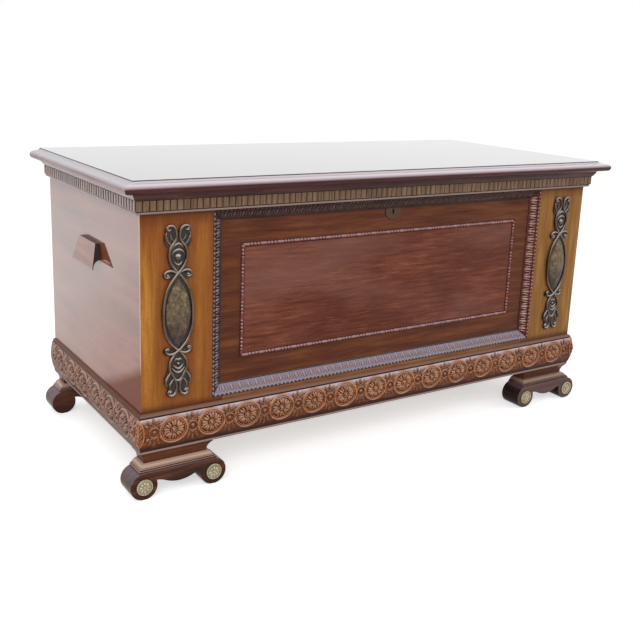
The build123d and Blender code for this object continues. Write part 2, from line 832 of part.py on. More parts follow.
def hinge_end_on(x):
    """Plane across the hinge line, looking along +X."""
    return Plane(origin=(x, hinge_y, hinge_z), x_dir=(0, 1, 0), z_dir=(1, 0, 0))


def hinge_leaf(hinge_x, first_knuckle, low, high, bore_radius, hole_planes):
    """Flat leaf let into the wood, with every other knuckle rolled round the pin."""
    start = hinge_x - hinge_length / 2
    flat_end = back_y
    block((start, start + hinge_length), (inner_back, flat_end), (low, high))
    for index in range(first_knuckle, knuckle_count, 2):
        near = start + index * knuckle_length + knuckle_clearance / 2
        far = near + knuckle_length - knuckle_clearance
        block((near, far), (flat_end, hinge_y), (low, high))
        peg(hinge_end_on(near), knuckle_radius, far - near)
        peg(hinge_end_on(near), bore_radius, far - near, Mode.SUBTRACT)
    screw_holes(hole_planes, hinge_leaf_thickness)


for name, hinge_x in hinge_places:
    with BuildPart() as case_leaf:
        hinge_leaf(hinge_x, 0, leaf_bottom, case_top, hinge_pin_radius, hinge_case_screws)
    case_leaf.part.label = f"hinge_case_leaf_{name}"
    export_step(case_leaf.part, f"parts/hinge_case_leaf_{name}.step")

    with BuildPart() as lid_leaf:
        hinge_leaf(hinge_x, 1, skirt_bottom, leaf_top, hinge_pin_radius + pin_clearance, hinge_lid_screws)
    lid_leaf.part.label = f"hinge_lid_leaf_{name}"
    export_step(lid_leaf.part, f"parts/hinge_lid_leaf_{name}.step")

with BuildPart() as hinge_pins:
    for _, hinge_x in hinge_places:
        peg(hinge_end_on(hinge_x - hinge_length / 2), hinge_pin_radius, hinge_length)
hinge_pins.part.label = "hinge_pins"
export_step(hinge_pins.part, "parts/hinge_pins.step")

# ------------------------------------------------------------------ lid stays


def stay_plate(sign, pivot, arm_at, arm_far):
    """Screwed plate with a shouldered pin that carries one end of an arm."""
    with BuildSketch(facing_in(sign, 0, *pivot)) as plate_outline:
        SlotOverall(stay_plate_length, stay_plate_height)
    extrude(plate_outline.sketch, amount=stay_plate_thickness)
    pin_end = arm_far + stay_clearance / 2
    on_plate = facing_in(sign, stay_plate_thickness, *pivot)
    peg(on_plate, stay_head_radius, arm_at - stay_clearance / 2 - stay_plate_thickness)
    peg(on_plate, stay_pin_radius, pin_end - stay_plate_thickness)
    peg(facing_in(sign, pin_end, *pivot), stay_head_radius, stay_head_thickness)
    screw_holes(stay_screws(sign, pivot), stay_plate_thickness)


def stay_arm(sign, arm_at, start, end):
    """Flat bar with round ends, between two pivots given as (y, z)."""
    middle = ((start[0] + end[0]) / 2, (start[1] + end[1]) / 2)
    along = Vector(0, end[0] - start[0], end[1] - start[1])
    plane = Plane(origin=(sign * (inner_side - arm_at), *middle), x_dir=along, z_dir=(-sign, 0, 0))
    with BuildSketch(plane) as bar_outline:
        SlotCenterToCenter(along.length, stay_arm_width)
    extrude(bar_outline.sketch, amount=stay_arm_thickness)


def stay_hole(sign, arm_at, pivot):
    """Running hole through an arm."""
    peg(facing_in(sign, arm_at, *pivot), stay_pin_radius + pin_clearance, stay_arm_thickness, Mode.SUBTRACT)


for name, sign in SIDES:
    with BuildPart() as case_plate:
        stay_plate(sign, stay_case_pivot, lower_arm_at, lower_arm_at + stay_arm_thickness)
    case_plate.part.label = f"stay_case_plate_{name}"
    export_step(case_plate.part, f"parts/stay_case_plate_{name}.step")

    with BuildPart() as lid_plate:
        stay_plate(sign, stay_lid_pivot, upper_arm_at, arms_end)
    lid_plate.part.label = f"stay_lid_plate_{name}"
    export_step(lid_plate.part, f"parts/stay_lid_plate_{name}.step")

    # The elbow rivet is closed over in the lower arm, so the two are one piece.
    with BuildPart() as lower_arm:
        stay_arm(sign, lower_arm_at, stay_case_pivot, stay_elbow)
        stay_hole(sign, lower_arm_at, stay_case_pivot)
        rivet_end = arms_end + stay_clearance / 2
        peg(facing_in(sign, lower_arm_at, *stay_elbow), stay_pin_radius, rivet_end - lower_arm_at)
        peg(facing_in(sign, rivet_end, *stay_elbow), stay_head_radius, stay_head_thickness)
    lower_arm.part.label = f"stay_lower_arm_{name}"
    export_step(lower_arm.part, f"parts/stay_lower_arm_{name}.step")

    with BuildPart() as upper_arm:
        stay_arm(sign, upper_arm_at, stay_elbow, stay_lid_pivot)
        stay_hole(sign, upper_arm_at, stay_elbow)
        stay_hole(sign, upper_arm_at, stay_lid_pivot)
    upper_arm.part.label = f"stay_upper_arm_{name}"
    export_step(upper_arm.part, f"parts/stay_upper_arm_{name}.step")

# ------------------------------------------------------------------ lock
bolt_y_span = (lock_middle - bolt_thickness / 2, lock_middle + bolt_thickness / 2)
bolt_z_span = (bolt_z - bolt_height / 2, bolt_z + bolt_height / 2)
guide_end = -bolt_tip - 2 * lock_wall
guide_start = lock_wall - lock_width / 2
inner_lock_y = (lock_front + lock_wall, lock_back - lock_wall)

staple_slot_x = staple_thickness / 2 + staple_slot_clearance
staple_slot_y = staple_width / 2 + staple_slot_clearance

with BuildPart() as lock_case:
    block(lock_span, (lock_front, lock_back), (lock_low, case_top))
    block((guide_start, -guide_start), inner_lock_y, (lock_low + lock_wall, selvedge_low), Mode.SUBTRACT)
    block(selvedge_span, (lock_front, lock_back), (selvedge_low, case_top))
    block((guide_start, guide_end), inner_lock_y, (bolt_z_span[0] - 2 * lock_wall, selvedge_low))
    block(
        (guide_start, guide_end),
        (bolt_y_span[0] - bolt_clearance, bolt_y_span[1] + bolt_clearance),
        (bolt_z_span[0] - bolt_clearance, bolt_z_span[1] + bolt_clearance),
        Mode.SUBTRACT,
    )
    block(
        (-staple_slot_x, staple_slot_x),
        (lock_middle - staple_slot_y, lock_middle + staple_slot_y),
        (selvedge_low, case_top),
        Mode.SUBTRACT,
    )
    with BuildSketch(Plane(origin=(0, lock_front, key_z), x_dir=(1, 0, 0), z_dir=(0, -1, 0))):
        SlotOverall(keyhole_height, keyhole_width, rotation=90)
    extrude(amount=-lock_wall, mode=Mode.SUBTRACT)
    screw_holes(lock_screws, selvedge_thickness)
lock_case.part.label = "lock_case"
export_step(lock_case.part, "parts/lock_case.step")

with BuildPart() as lock_bolt:
    block((-bolt_tip - bolt_length, -bolt_tip), bolt_y_span, bolt_z_span)
lock_bolt.part.label = "lock_bolt"
export_step(lock_bolt.part, "parts/lock_bolt.step")

with BuildPart() as lock_staple:
    block(
        (-staple_plate_length / 2, staple_plate_length / 2),
        (lock_front, lock_back),
        (skirt_bottom, skirt_bottom + selvedge_thickness),
    )
    block(
        (-staple_thickness / 2, staple_thickness / 2),
        (lock_middle - staple_width / 2, lock_middle + staple_width / 2),
        (staple_bottom, skirt_bottom),
    )
    block(
        (-staple_thickness / 2, staple_thickness / 2),
        (lock_middle - staple_eye_width / 2, lock_middle + staple_eye_width / 2),
        (bolt_z - staple_eye_height / 2, bolt_z + staple_eye_height / 2),
        Mode.SUBTRACT,
    )
    screw_holes(staple_screws, selvedge_thickness)
lock_staple.part.label = "lock_staple"
export_step(lock_staple.part, "parts/lock_staple.step")

with BuildPart() as escutcheon:
    with BuildSketch(Plane(origin=(0, recess_y, key_z), x_dir=(1, 0, 0), z_dir=(0, -1, 0))):
        Ellipse(escutcheon_half_width, escutcheon_half_height)
        SlotOverall(keyhole_height, keyhole_width, rotation=90, mode=Mode.SUBTRACT)
    extrude(amount=escutcheon_thickness)
    block(
        (-2 * escutcheon_half_width, 2 * escutcheon_half_width),
        (front_y, inner_front),
        (opening_high, case_top),
        Mode.SUBTRACT,
    )
escutcheon.part.label = "escutcheon"
export_step(escutcheon.part, "parts/escutcheon.step")
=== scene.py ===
from math import asin, cos, radians, sin, sqrt, tau

import bmesh
import bpy
from mathutils import Matrix, Vector


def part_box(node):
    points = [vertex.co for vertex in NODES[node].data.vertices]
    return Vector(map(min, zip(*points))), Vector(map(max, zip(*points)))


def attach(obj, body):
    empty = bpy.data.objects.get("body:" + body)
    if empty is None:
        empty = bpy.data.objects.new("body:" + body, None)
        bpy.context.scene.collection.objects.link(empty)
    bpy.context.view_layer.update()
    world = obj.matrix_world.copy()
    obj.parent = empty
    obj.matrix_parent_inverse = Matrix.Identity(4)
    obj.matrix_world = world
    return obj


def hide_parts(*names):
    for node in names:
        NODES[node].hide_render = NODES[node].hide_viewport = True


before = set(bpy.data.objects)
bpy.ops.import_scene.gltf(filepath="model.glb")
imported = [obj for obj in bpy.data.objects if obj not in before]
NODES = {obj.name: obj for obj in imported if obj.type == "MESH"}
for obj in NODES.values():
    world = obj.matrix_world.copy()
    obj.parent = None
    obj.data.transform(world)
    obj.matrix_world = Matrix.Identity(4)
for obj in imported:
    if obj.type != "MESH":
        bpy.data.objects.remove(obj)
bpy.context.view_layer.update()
MM = 0.001
ENDS = (("left", -1), ("right", 1))

# ---------------------------------------------------------------- where things are, in metres
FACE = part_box("stile_left")[0].y
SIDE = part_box("side_panel_right")[1].x
SIDE_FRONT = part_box("side_panel_left")[0].y
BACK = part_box("back_panel")[1].y
CASE_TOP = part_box("stile_left")[1].z
LID_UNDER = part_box("lid_panel")[0].z
FIELD_LOW, FIELD_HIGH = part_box("lid_panel")
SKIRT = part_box("cornice_front")[0].z
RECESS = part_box("centre_panel")[0].y
BASE_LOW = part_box("base_moulding_front")[0].z
BASE_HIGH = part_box("base_moulding_front")[1].z
FRAME_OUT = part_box("frame_moulding_top")[1].x
FRAME_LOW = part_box("frame_moulding_bottom")[0].z
INNER_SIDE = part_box("back_panel")[1].x
CABOCHON_MIDDLE = (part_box("cabochon_left")[0].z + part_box("cabochon_left")[1].z) / 2

# ---------------------------------------------------------------- sizes the solids were made with, in metres
FRONT_THICK = 30 * MM  # front of the case
BACK_THICK = 18 * MM
LEDGE = 6 * MM  # flat ledge on the base moulding
BASE_OUT = 11 * MM  # base moulding, out of the case
FRAME_WIDE = 22 * MM
BAND_OUT = 11 * MM  # reeded band of the lid, out of the case
BAND_LOW = SKIRT + 5.5 * MM
BAND_HIGH = LID_UNDER - 14.2 * MM
VOLUTES_APART = 136 * MM
HINGE_SCREWS = BACK - 10 * MM  # line of the screws, along the hinge leaves
HINGE_LEAF = 76 * MM
STAY_PLATE = 2 * MM
STAY_SCREW, LOCK_SCREW, STAPLE_SCREW = 14.5 * MM, 39.5 * MM, 15.6 * MM  # each from its plate's middle

# ---------------------------------------------------------------- sizes of the dressing, in metres
HAIR = 0.5 * MM
PLATE = 3.4 * MM  # fretted plate of an applique
PLATE_FACE = FACE - PLATE + 0.2 * MM
PEARL_PITCH, LEAF_PITCH, REED_PITCH, ROSETTE_PITCH = 8.8 * MM, 17.4 * MM, 12.24 * MM, 74.4 * MM
ROSETTE_HEIGHT = BASE_LOW + 36 * MM
SCREW_SUNK = 0.2 * MM
CREASE, SHARP = radians(35), radians(40)  # shaded as an edge, rubbed round


# ---------------------------------------------------------------- mesh helpers
def new_mesh():
    return bmesh.new()


def place(x=0.0, y=0.0, z=0.0):
    return Matrix.Translation((x, y, z))


def turn(degrees, axis):
    return Matrix.Rotation(radians(degrees), 4, axis)


def size(x, y, z):
    return Matrix.Diagonal((x, y, z, 1))


def edges_of(verts):
    return list({edge for vert in verts for edge in vert.link_edges})


def as_unit(bm, name):
    """Keeps a finished shape to be stamped many times."""
    bmesh.ops.remove_doubles(bm, verts=bm.verts, dist=0.01 * MM)
    bmesh.ops.recalc_face_normals(bm, faces=bm.faces)
    unit = bpy.data.meshes.new(name)
    bm.to_mesh(unit)
    bm.free()
    return unit


def stamp(bm, unit, matrix):
    """Adds a copy of a unit at a place."""
    before = len(bm.verts)
    bm.from_mesh(unit)
    bm.verts.ensure_lookup_table()
    bmesh.ops.transform(bm, matrix=matrix, verts=bm.verts[before:])


def show(name, data):
    """Puts an object with this mesh, lamp or camera in the scene."""
    holder = bpy.data.objects.new(name, data)
    bpy.context.scene.collection.objects.link(holder)
    return holder


def add_piece(name, bm, material, body, stands_for=()):
    """Closes a mesh into a finished object that rides on a body."""
    bmesh.ops.remove_doubles(bm, verts=bm.verts, dist=0.004 * MM)
    bmesh.ops.recalc_face_normals(bm, faces=bm.faces)
    mesh = bpy.data.meshes.new(name)
    bm.to_mesh(mesh)
    bm.free()
    for face in mesh.polygons:
        face.use_smooth = True
    mesh.set_sharp_from_angle(angle=CREASE)
    mesh.materials.append(material)
    piece = show(name, mesh)
    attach(piece, body)
    if stands_for:
        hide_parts(*stands_for)
    return piece


def copy_of_node(node):
    """A merged copy of a CAD solid, with its flat faces whole again."""
    bm = new_mesh()
    bm.from_mesh(NODES[node].data)
    bmesh.ops.remove_doubles(bm, verts=bm.verts, dist=0.01 * MM)
    bmesh.ops.dissolve_limit(bm, angle_limit=radians(1), verts=bm.verts, edges=bm.edges)
    return bm


def eased_node(node, width, material):
    """Stands for a CAD solid of the case with the same shape, its sharp edges rubbed round."""
    bm = copy_of_node(node)
    sharp = [edge for edge in bm.edges if edge.is_manifold and abs(edge.calc_face_angle()) > SHARP]
    bmesh.ops.bevel(bm, geom=sharp, offset=width, offset_type="OFFSET", segments=3, affect="EDGES",
                    profile=0.5, material=-1, clamp_overlap=True)
    piece = add_piece(node + "_eased", bm, material, "case", [node])
    even = piece.modifiers.new("even_shading", "WEIGHTED_NORMAL")
    even.keep_sharp = True


def wire_ring(bm, x, y, radius, tube, lift, around=36):
    """A round wire ring that lies flat."""
    at = place(x + radius, y, lift) @ turn(90, "X")
    start = bmesh.ops.create_circle(bm, segments=6, radius=tube, matrix=at)["verts"]
    bmesh.ops.spin(bm, geom=start + edges_of(start), cent=(x, y, 0), axis=(0, 0, 1), angle=tau, steps=around,
                   use_merge=True, use_duplicate=False)


def cut_flat(bm, point, direction):
    """Cuts away what lies past a plane and closes the cut."""
    bmesh.ops.bisect_plane(bm, geom=bm.verts[:] + bm.edges[:] + bm.faces[:], plane_co=point,
                           plane_no=direction, clear_outer=True)
    bmesh.ops.holes_fill(bm, edges=[edge for edge in bm.edges if edge.is_boundary], sides=0)


def blob(bm, matrix, around=8, along=6):
    """A soft round lump, shaped by a matrix."""
    bmesh.ops.create_uvsphere(bm, u_segments=around, v_segments=along, radius=1, matrix=matrix)


def gained(bm, before):
    """The points a mesh has gained."""
    return [vert for vert in bm.verts if vert not in before]


def revolve(bm, before, axis, around, matrix):
    """Turns the outline gained since before about an axis, and moves it to its place."""
    outline = gained(bm, before)
    bmesh.ops.spin(bm, geom=outline + edges_of(outline), cent=(0, 0, 0), axis=axis, angle=tau, steps=around,
                   use_merge=True, use_duplicate=False)
    bmesh.ops.remove_doubles(bm, verts=gained(bm, before), dist=0.005 * MM)
    bmesh.ops.transform(bm, matrix=matrix, verts=gained(bm, before))


def spindle(bm, half_length, half_width, height, matrix, around, along):
    """A pointed oval: an arc from tip to tip, turned about its long way, x."""
    before = set(bm.verts)
    radius = (half_length**2 + half_width**2) / (2 * half_width)
    tip = bm.verts.new((-half_length, 0, 0))
    bmesh.ops.spin(bm, geom=[tip], cent=(0, half_width - radius, 0), axis=(0, 0, -1),
                   angle=2 * asin(half_length / radius), steps=along, use_duplicate=False)
    revolve(bm, before, (1, 0, 0), around, matrix @ size(1, 1, height / half_width))


def lathe(bm, profile, matrix, around):
    """A turned shape: (along, radius) pairs spun about z."""
    before = set(bm.verts)
    verts = [bm.verts.new((radius, 0, along)) for along, radius in profile]
    for pair in zip(verts, verts[1:]):
        bm.edges.new(pair)
    revolve(bm, before, (0, 0, 1), around, matrix)


# ---------------------------------------------------------------- node helpers
def paint(red, green, blue):
    """A colour given in screen values, 0 to 255."""
    def linear(value):
        value /= 255
        return value / 12.92 if value <= 0.04045 else ((value + 0.055) / 1.055) ** 2.4
    return (linear(red), linear(green), linear(blue), 1.0)


def shaded(colour, factor, added=0.0):
    """A colour made darker or lighter."""
    return tuple(min(1.0, factor * value + added) for value in colour[:3]) + (1.0,)


def feed(tree, node, inputs):
    """Joins a node's inputs to other nodes, or sets them."""
    for name, value in inputs.items():
        if isinstance(value, bpy.types.NodeSocket):
            tree.links.new(value, node.inputs[name])
        else:
            node.inputs[name].default_value = value


def put(tree, kind, inputs, **settings):
    """Adds a node, sets it up and feeds it."""
    node = tree.nodes.new(kind)
    for name, value in settings.items():
        setattr(node, name, value)
    feed(tree, node, inputs)
    return node


def math(tree, operation, first, second=0.0, third=0.0):
    return put(tree, "ShaderNodeMath", {0: first, 1: second, 2: third}, operation=operation).outputs[0]


def times(tree, first, second):
    return math(tree, "MULTIPLY", first, second)


def plus(tree, first, second):
    return math(tree, "ADD", first, second)


def minus(tree, first, second):
    return math(tree, "SUBTRACT", first, second)


def larger(tree, first, second):
    return math(tree, "MAXIMUM", first, second)


def absolute(tree, value):
    return math(tree, "ABSOLUTE", value)


def scaled(tree, value, factor, added):
    """The value times a factor, with a number added."""
    return math(tree, "MULTIPLY_ADD", value, factor, added)


def axes(tree, vector):
    """The x, y and z of a vector."""
    return put(tree, "ShaderNodeSeparateXYZ", {0: vector}).outputs


def facing_axes(tree):
    """Which way a face looks, before any bevel or bump."""
    return axes(tree, put(tree, "ShaderNodeTexCoord", {}).outputs["Normal"])


def blend(tree, factor, first, second):
    """Mixes two colours."""
    return put(tree, "ShaderNodeMix", {0: factor, 6: first, 7: second}, data_type="RGBA").outputs[2]


def ramp(tree, factor, positions, colours):
    """Runs through colours at positions."""
    node = put(tree, "ShaderNodeValToRGB", {0: factor})
    stops = node.color_ramp.elements
    while len(stops) < len(positions):
        stops.new(0.5)
    for element, position, colour in zip(stops, positions, colours):
        element.position = position
        element.color = colour
    return node.outputs[0]


def spread(tree, value, low, high, to_low=0.0, to_high=1.0):
    """Spreads the span from low to high over another, and stays inside that."""
    node = put(tree, "ShaderNodeMapRange", {0: value, 1: low, 2: high, 3: to_low, 4: to_high}, clamp=True)
    return node.outputs[0]


def vector_math(tree, operation, inputs, output=0):
    return put(tree, "ShaderNodeVectorMath", inputs, operation=operation).outputs[output]


def stretch(tree, vector, x, y, z):
    """The rate of a pattern along each axis, in turns a metre."""
    return vector_math(tree, "MULTIPLY", {0: vector, 1: (x, y, z)})


def noise(tree, vector, detail, roughness=0.55):
    inputs = {"Vector": vector, "Scale": 1.0, "Detail": detail, "Roughness": roughness}
    return put(tree, "ShaderNodeTexNoise", inputs).outputs["Fac"]


def new_group(name, inputs, outputs):
    """A shared effect: a node group with named inputs and outputs."""
    group = bpy.data.node_groups.new(name, "ShaderNodeTree")
    for label, kind, value in inputs:
        socket = group.interface.new_socket(name=label, in_out="INPUT", socket_type=kind)
        if value is not None:
            socket.default_value = value
    for label, kind in outputs:
        group.interface.new_socket(name=label, in_out="OUTPUT", socket_type=kind)
    return group, group.nodes.new("NodeGroupInput").outputs, group.nodes.new("NodeGroupOutput")


def use(tree, group, inputs):
    """Places a shared effect in a material."""
    return put(tree, "ShaderNodeGroup", inputs, node_tree=group).outputs


# ---------------------------------------------------------------- shared effects
FLOAT, VECTOR = "NodeSocketFloat", "NodeSocketVector"


def make_wood_grain():
    """Grain that runs along x: broad streaks, fine lines and open pores."""
    group, start, end = new_group(
        "wood_grain",
        [("Vector", VECTOR, None), ("Streak Width", FLOAT, 0.012), ("Line Width", FLOAT, 0.0012),
         ("Wander", FLOAT, 0.01), ("Pore Amount", FLOAT, 0.4)],
        [("Streaks", FLOAT), ("Lines", FLOAT), ("Pores", FLOAT), ("Height", FLOAT)],
    )
    slow = noise(group, stretch(group, start["Vector"], 3.0, 9.0, 9.0), 2.0)
    shift = times(group, minus(group, slow, 0.5), start["Wander"])
    moved = vector_math(group, "ADD", {0: start["Vector"], 1: shift})
    streak_rate = math(group, "DIVIDE", 1.0, start["Streak Width"])
    streak_at = vector_math(group, "SCALE", {0: moved, "Scale": streak_rate})
    streaks = noise(group, stretch(group, streak_at, 0.09, 1.0, 1.0), 4.0, 0.6)
    line_rate = math(group, "DIVIDE", 1.0, start["Line Width"])
    line_at = vector_math(group, "SCALE", {0: moved, "Scale": line_rate})
    lines = noise(group, stretch(group, line_at, 0.03, 1.0, 1.0), 2.0, 0.5)
    dashes = noise(group, stretch(group, moved, 160.0, 1900.0, 1900.0), 1.0, 0.4)
    pores = times(group, spread(group, dashes, 0.6, 0.74), start["Pore Amount"])
    height = minus(group, times(group, lines, 0.5), pores)
    feed(group, end, {"Streaks": streaks, "Lines": lines, "Pores": pores, "Height": height})
    return group


def make_wear_and_light_masks():
    """Masks for rubbed edges, also used for painted highlights; hollows, for painted shade in woods and
    patina in metals; upper and under faces, for a painted sheen and painted shade; and a rounded-edge
    normal.
    """
    group, start, end = new_group(
        "wear_and_light",
        [("Edge Radius", FLOAT, 0.0012), ("Hollow Reach", FLOAT, 0.012), ("Hollow Full", FLOAT, 0.35),
         ("Upper Full", FLOAT, 0.9)],
        [("Edge", FLOAT), ("Hollow", FLOAT), ("Upper", FLOAT), ("Under", FLOAT), ("Normal", VECTOR)],
    )
    soft = put(group, "ShaderNodeBevel", {"Radius": start["Edge Radius"]}, samples=4).outputs[0]
    flat = put(group, "ShaderNodeNewGeometry", {}).outputs["Normal"]
    dot = vector_math(group, "DOT_PRODUCT", {0: soft, 1: flat}, "Value")
    edge = spread(group, dot, 0.99, 0.88)
    shade = put(group, "ShaderNodeAmbientOcclusion", {"Distance": start["Hollow Reach"]}, samples=6)
    hollow = spread(group, shade.outputs["AO"], 0.95, start["Hollow Full"])
    lift = facing_axes(group)[2]
    upper = spread(group, lift, 0.15, start["Upper Full"])
    under = spread(group, lift, 0.25, 0.0)
    feed(group, end, {"Edge": edge, "Hollow": hollow, "Upper": upper, "Under": under, "Normal": soft})
    return group


def make_polish():
    """Uneven hand-rubbed polish: soft smears and a few fine scratches."""
    group, start, end = new_group(
        "polish",
        [("Vector", VECTOR, None), ("Low", FLOAT, 0.12), ("High", FLOAT, 0.3)],
        [("Roughness", FLOAT)],
    )
    smear = noise(group, stretch(group, start["Vector"], 14.0, 14.0, 14.0), 4.0, 0.6)
    fine = noise(group, stretch(group, start["Vector"], 260.0, 260.0, 260.0), 2.0)
    both = plus(group, times(group, smear, 0.75), times(group, fine, 0.25))
    span = minus(group, start["High"], start["Low"])
    rough = scaled(group, spread(group, both, 0.3, 0.7), span, start["Low"])
    feed(group, end, {"Roughness": rough})
    return group


def make_inside_mask():
    """1 on faces inside the case or under the lid, where the wood was left unpolished."""
    group, start, end = new_group(
        "inside_mask",
        [("Vector", VECTOR, None)],
        [("Inside", FLOAT)],
    )
    xyz = axes(group, start["Vector"])
    within_ends = math(group, "LESS_THAN", absolute(group, xyz[0]), INNER_SIDE + HAIR)
    behind_front = math(group, "GREATER_THAN", xyz[1], FACE + FRONT_THICK - HAIR)
    before_back = math(group, "LESS_THAN", xyz[1], BACK - BACK_THICK + HAIR)
    under_top = math(group, "LESS_THAN", xyz[2], LID_UNDER + HAIR)
    both = times(group, times(group, within_ends, behind_front), times(group, before_back, under_top))
    feed(group, end, {"Inside": both})
    return group


WOOD_GRAIN = make_wood_grain()
WEAR_AND_LIGHT = make_wear_and_light_masks()
POLISH = make_polish()
INSIDE = make_inside_mask()
ALONG = {"x": (0, 0, 0), "y": (0, 0, radians(90)), "z": (0, radians(90), 0)}


# ---------------------------------------------------------------- woods
def start_material(name):
    """A new material, its tree, its shader and the place on the piece."""
    material = bpy.data.materials.new(name)
    material.use_nodes = True
    tree = material.node_tree
    at = put(tree, "ShaderNodeTexCoord", {}).outputs["Object"]
    return material, tree, tree.nodes["Principled BSDF"], at


def wood(name, tones, along="x", streak=0.012, line=0.0012, wander=0.02, pores=0.5, shift=0.0, hollow=0.5,
         hollow_reach=0.012, hollow_full=0.35, edge=0.25, edge_radius=0.001, low=0.15, high=0.3, coat=0.3,
         coat_ior=1.5, coat_rough=0.06, reflection=0.4, relief=0.08, painted_sheen=0.0, painted_sheen_tone=(186, 174, 190),
         painted_sheen_full=0.9, painted_under_shade=0.0, inside=False, finish=None):
    """Polished wood in three tones, with its own grain and pores; its edges paled, partly as wear and partly
    as a painted highlight; painted shade in its hollows; and a painted sheen on upper faces.
    """
    material, tree, shader, at = start_material(name)
    dark, middle, light = (paint(*tone) for tone in tones)
    turned = put(tree, "ShaderNodeMapping",
                 {"Vector": at, "Rotation": ALONG[along], "Location": (shift, shift, 0)})
    grain = use(tree, WOOD_GRAIN, {"Vector": turned.outputs[0], "Streak Width": streak, "Line Width": line,
                                   "Wander": wander, "Pore Amount": pores})
    wear_and_light = use(tree, WEAR_AND_LIGHT, {"Edge Radius": edge_radius, "Hollow Reach": hollow_reach,
                            "Hollow Full": hollow_full, "Upper Full": painted_sheen_full})
    polish = use(tree, POLISH, {"Vector": at, "Low": low, "High": high})
    tone = plus(tree, times(tree, grain["Streaks"], 0.78), times(tree, grain["Lines"], 0.22))
    colour = ramp(tree, tone, (0.34, 0.5, 0.66), (dark, middle, light))
    colour = blend(tree, grain["Pores"], colour, shaded(dark, 0.35))
    # painted shade: hollows darkened
    colour = blend(tree, times(tree, wear_and_light["Hollow"], hollow), colour, shaded(dark, 0.22))
    # edges paled: partly rubbed wear, partly a painted highlight
    colour = blend(tree, times(tree, wear_and_light["Edge"], edge), colour, shaded(light, 1.5, 0.02))
    # painted sheen: upper faces paled, a painted reflection of the bright room
    if painted_sheen:
        colour = blend(tree, times(tree, wear_and_light["Upper"], painted_sheen), colour, paint(*painted_sheen_tone))
    # painted shade: the coat fades in hollows and on under faces
    gloss = times(tree, scaled(tree, wear_and_light["Hollow"], -hollow, 1.0), coat)
    gloss = times(tree, scaled(tree, wear_and_light["Under"], -painted_under_shade, 1.0), gloss)
    if finish:
        colour, shine = finish(tree, at, colour)
        gloss = times(tree, gloss, shine)
    rough = polish["Roughness"]
    if inside:
        boards = (paint(140, 104, 68), paint(158, 120, 81), paint(174, 136, 94))
        raw = ramp(tree, tone, (0.3, 0.5, 0.7), boards)
        mask = use(tree, INSIDE, {"Vector": at})["Inside"]
        colour = blend(tree, mask, colour, raw)
        rough = larger(tree, rough, times(tree, mask, 0.62))
        gloss = times(tree, minus(tree, 1.0, mask), gloss)
    bump = put(tree, "ShaderNodeBump", {"Strength": relief, "Distance": 0.0004, "Height": grain["Height"],
                                        "Normal": wear_and_light["Normal"]})
    feed(tree, shader, {"Base Color": colour, "Roughness": rough, "Normal": bump.outputs[0],
                        "Coat Weight": gloss, "Coat Roughness": coat_rough, "Coat IOR": coat_ior, "IOR": 1.5,
                        "Specular IOR Level": reflection})
    return material


def painted_field_edge_shade(tree, at, colour):
    """The thin raised edge of the lid's field is painted dark as shade, and loses its coat there."""
    xyz = axes(tree, at)
    ends = math(tree, "GREATER_THAN", absolute(tree, xyz[0]), FIELD_HIGH.x - 0.6 * MM)
    front = math(tree, "LESS_THAN", xyz[1], FIELD_LOW.y + 0.6 * MM)
    painted_rim_shade = larger(tree, ends, front)
    # painted shade on the field's raised edge
    return blend(tree, painted_rim_shade, colour, paint(46, 44, 52)), minus(tree, 1.0, painted_rim_shade)


def lid_top_wood():
    """Polished like glass, greyed by the light on it."""
    return wood("lid_top_wood", ((78, 48, 38), (104, 68, 54), (128, 88, 70)), streak=0.02, shift=3.0,
                coat=1.0, coat_ior=1.6, reflection=0.9, low=0.03, high=0.07, relief=0.02, inside=True,
                finish=painted_field_edge_shade)


def lid_edge_front_wood():
    """Dark red nosing with a painted sheen on its upper round, and painted shade on its under faces, which
    lose their coat.
    """
    return wood("lid_edge_front_wood", ((52, 20, 23), (70, 29, 31), (88, 42, 42)), coat=0.8,
                coat_rough=0.2, reflection=0.2, high=0.25, relief=0.03, painted_sheen=0.9,
                painted_sheen_tone=(228, 212, 218), painted_under_shade=0.9, inside=True)


def lid_edge_end_wood():
    """Nosing of the ends, its tones painted pinkish grey as a reflection of the bright room, with a painted
    sheen on top.
    """
    return wood("lid_edge_end_wood", ((128, 98, 95), (152, 120, 117), (172, 140, 136)), along="y",
                coat=0.35, coat_rough=0.3, reflection=0.3, low=0.3, high=0.4, relief=0.02, edge=0.1,
                pores=0.1, painted_sheen=0.8, painted_sheen_tone=(204, 200, 206), inside=True)


def bead_highlight_and_line(tree, at, colour):
    """The small bead at the foot of the skirt is painted pale as a highlight, over and under a dark line."""
    bead_top, line = SKIRT + 4.4 * MM, SKIRT + 5 * MM
    height = axes(tree, at)[2]
    bead = math(tree, "LESS_THAN", height, bead_top)
    dark_line = spread(tree, absolute(tree, minus(tree, height, line)), 1.2 * MM, 0.6 * MM)
    # painted highlight on the bead
    colour = blend(tree, bead, colour, paint(146, 122, 112))
    return blend(tree, dark_line, colour, paint(46, 34, 34)), 1.0


def cornice_front_wood():
    """Dark red skirt of the lid."""
    return wood("cornice_front_wood", ((50, 24, 22), (72, 37, 32), (94, 53, 45)), coat=0.45, low=0.12,
                high=0.25, hollow=0.35, hollow_reach=0.005, painted_sheen=0.3, reflection=0.2, painted_under_shade=0.9,
                inside=True, finish=bead_highlight_and_line)


def painted_band_shade(tree, at, colour):
    """The flat band behind the end reeds is painted nearly black, as the shade between the reeds, and loses
    its coat.
    """
    low, high = SKIRT + 6.3 * MM, LID_UNDER - 15.3 * MM
    off = absolute(tree, minus(tree, axes(tree, at)[2], (low + high) / 2))
    band = math(tree, "LESS_THAN", off, (high - low) / 2)
    # painted shade on the band between the reeds
    return blend(tree, band, colour, paint(44, 38, 38)), minus(tree, 1.0, band)


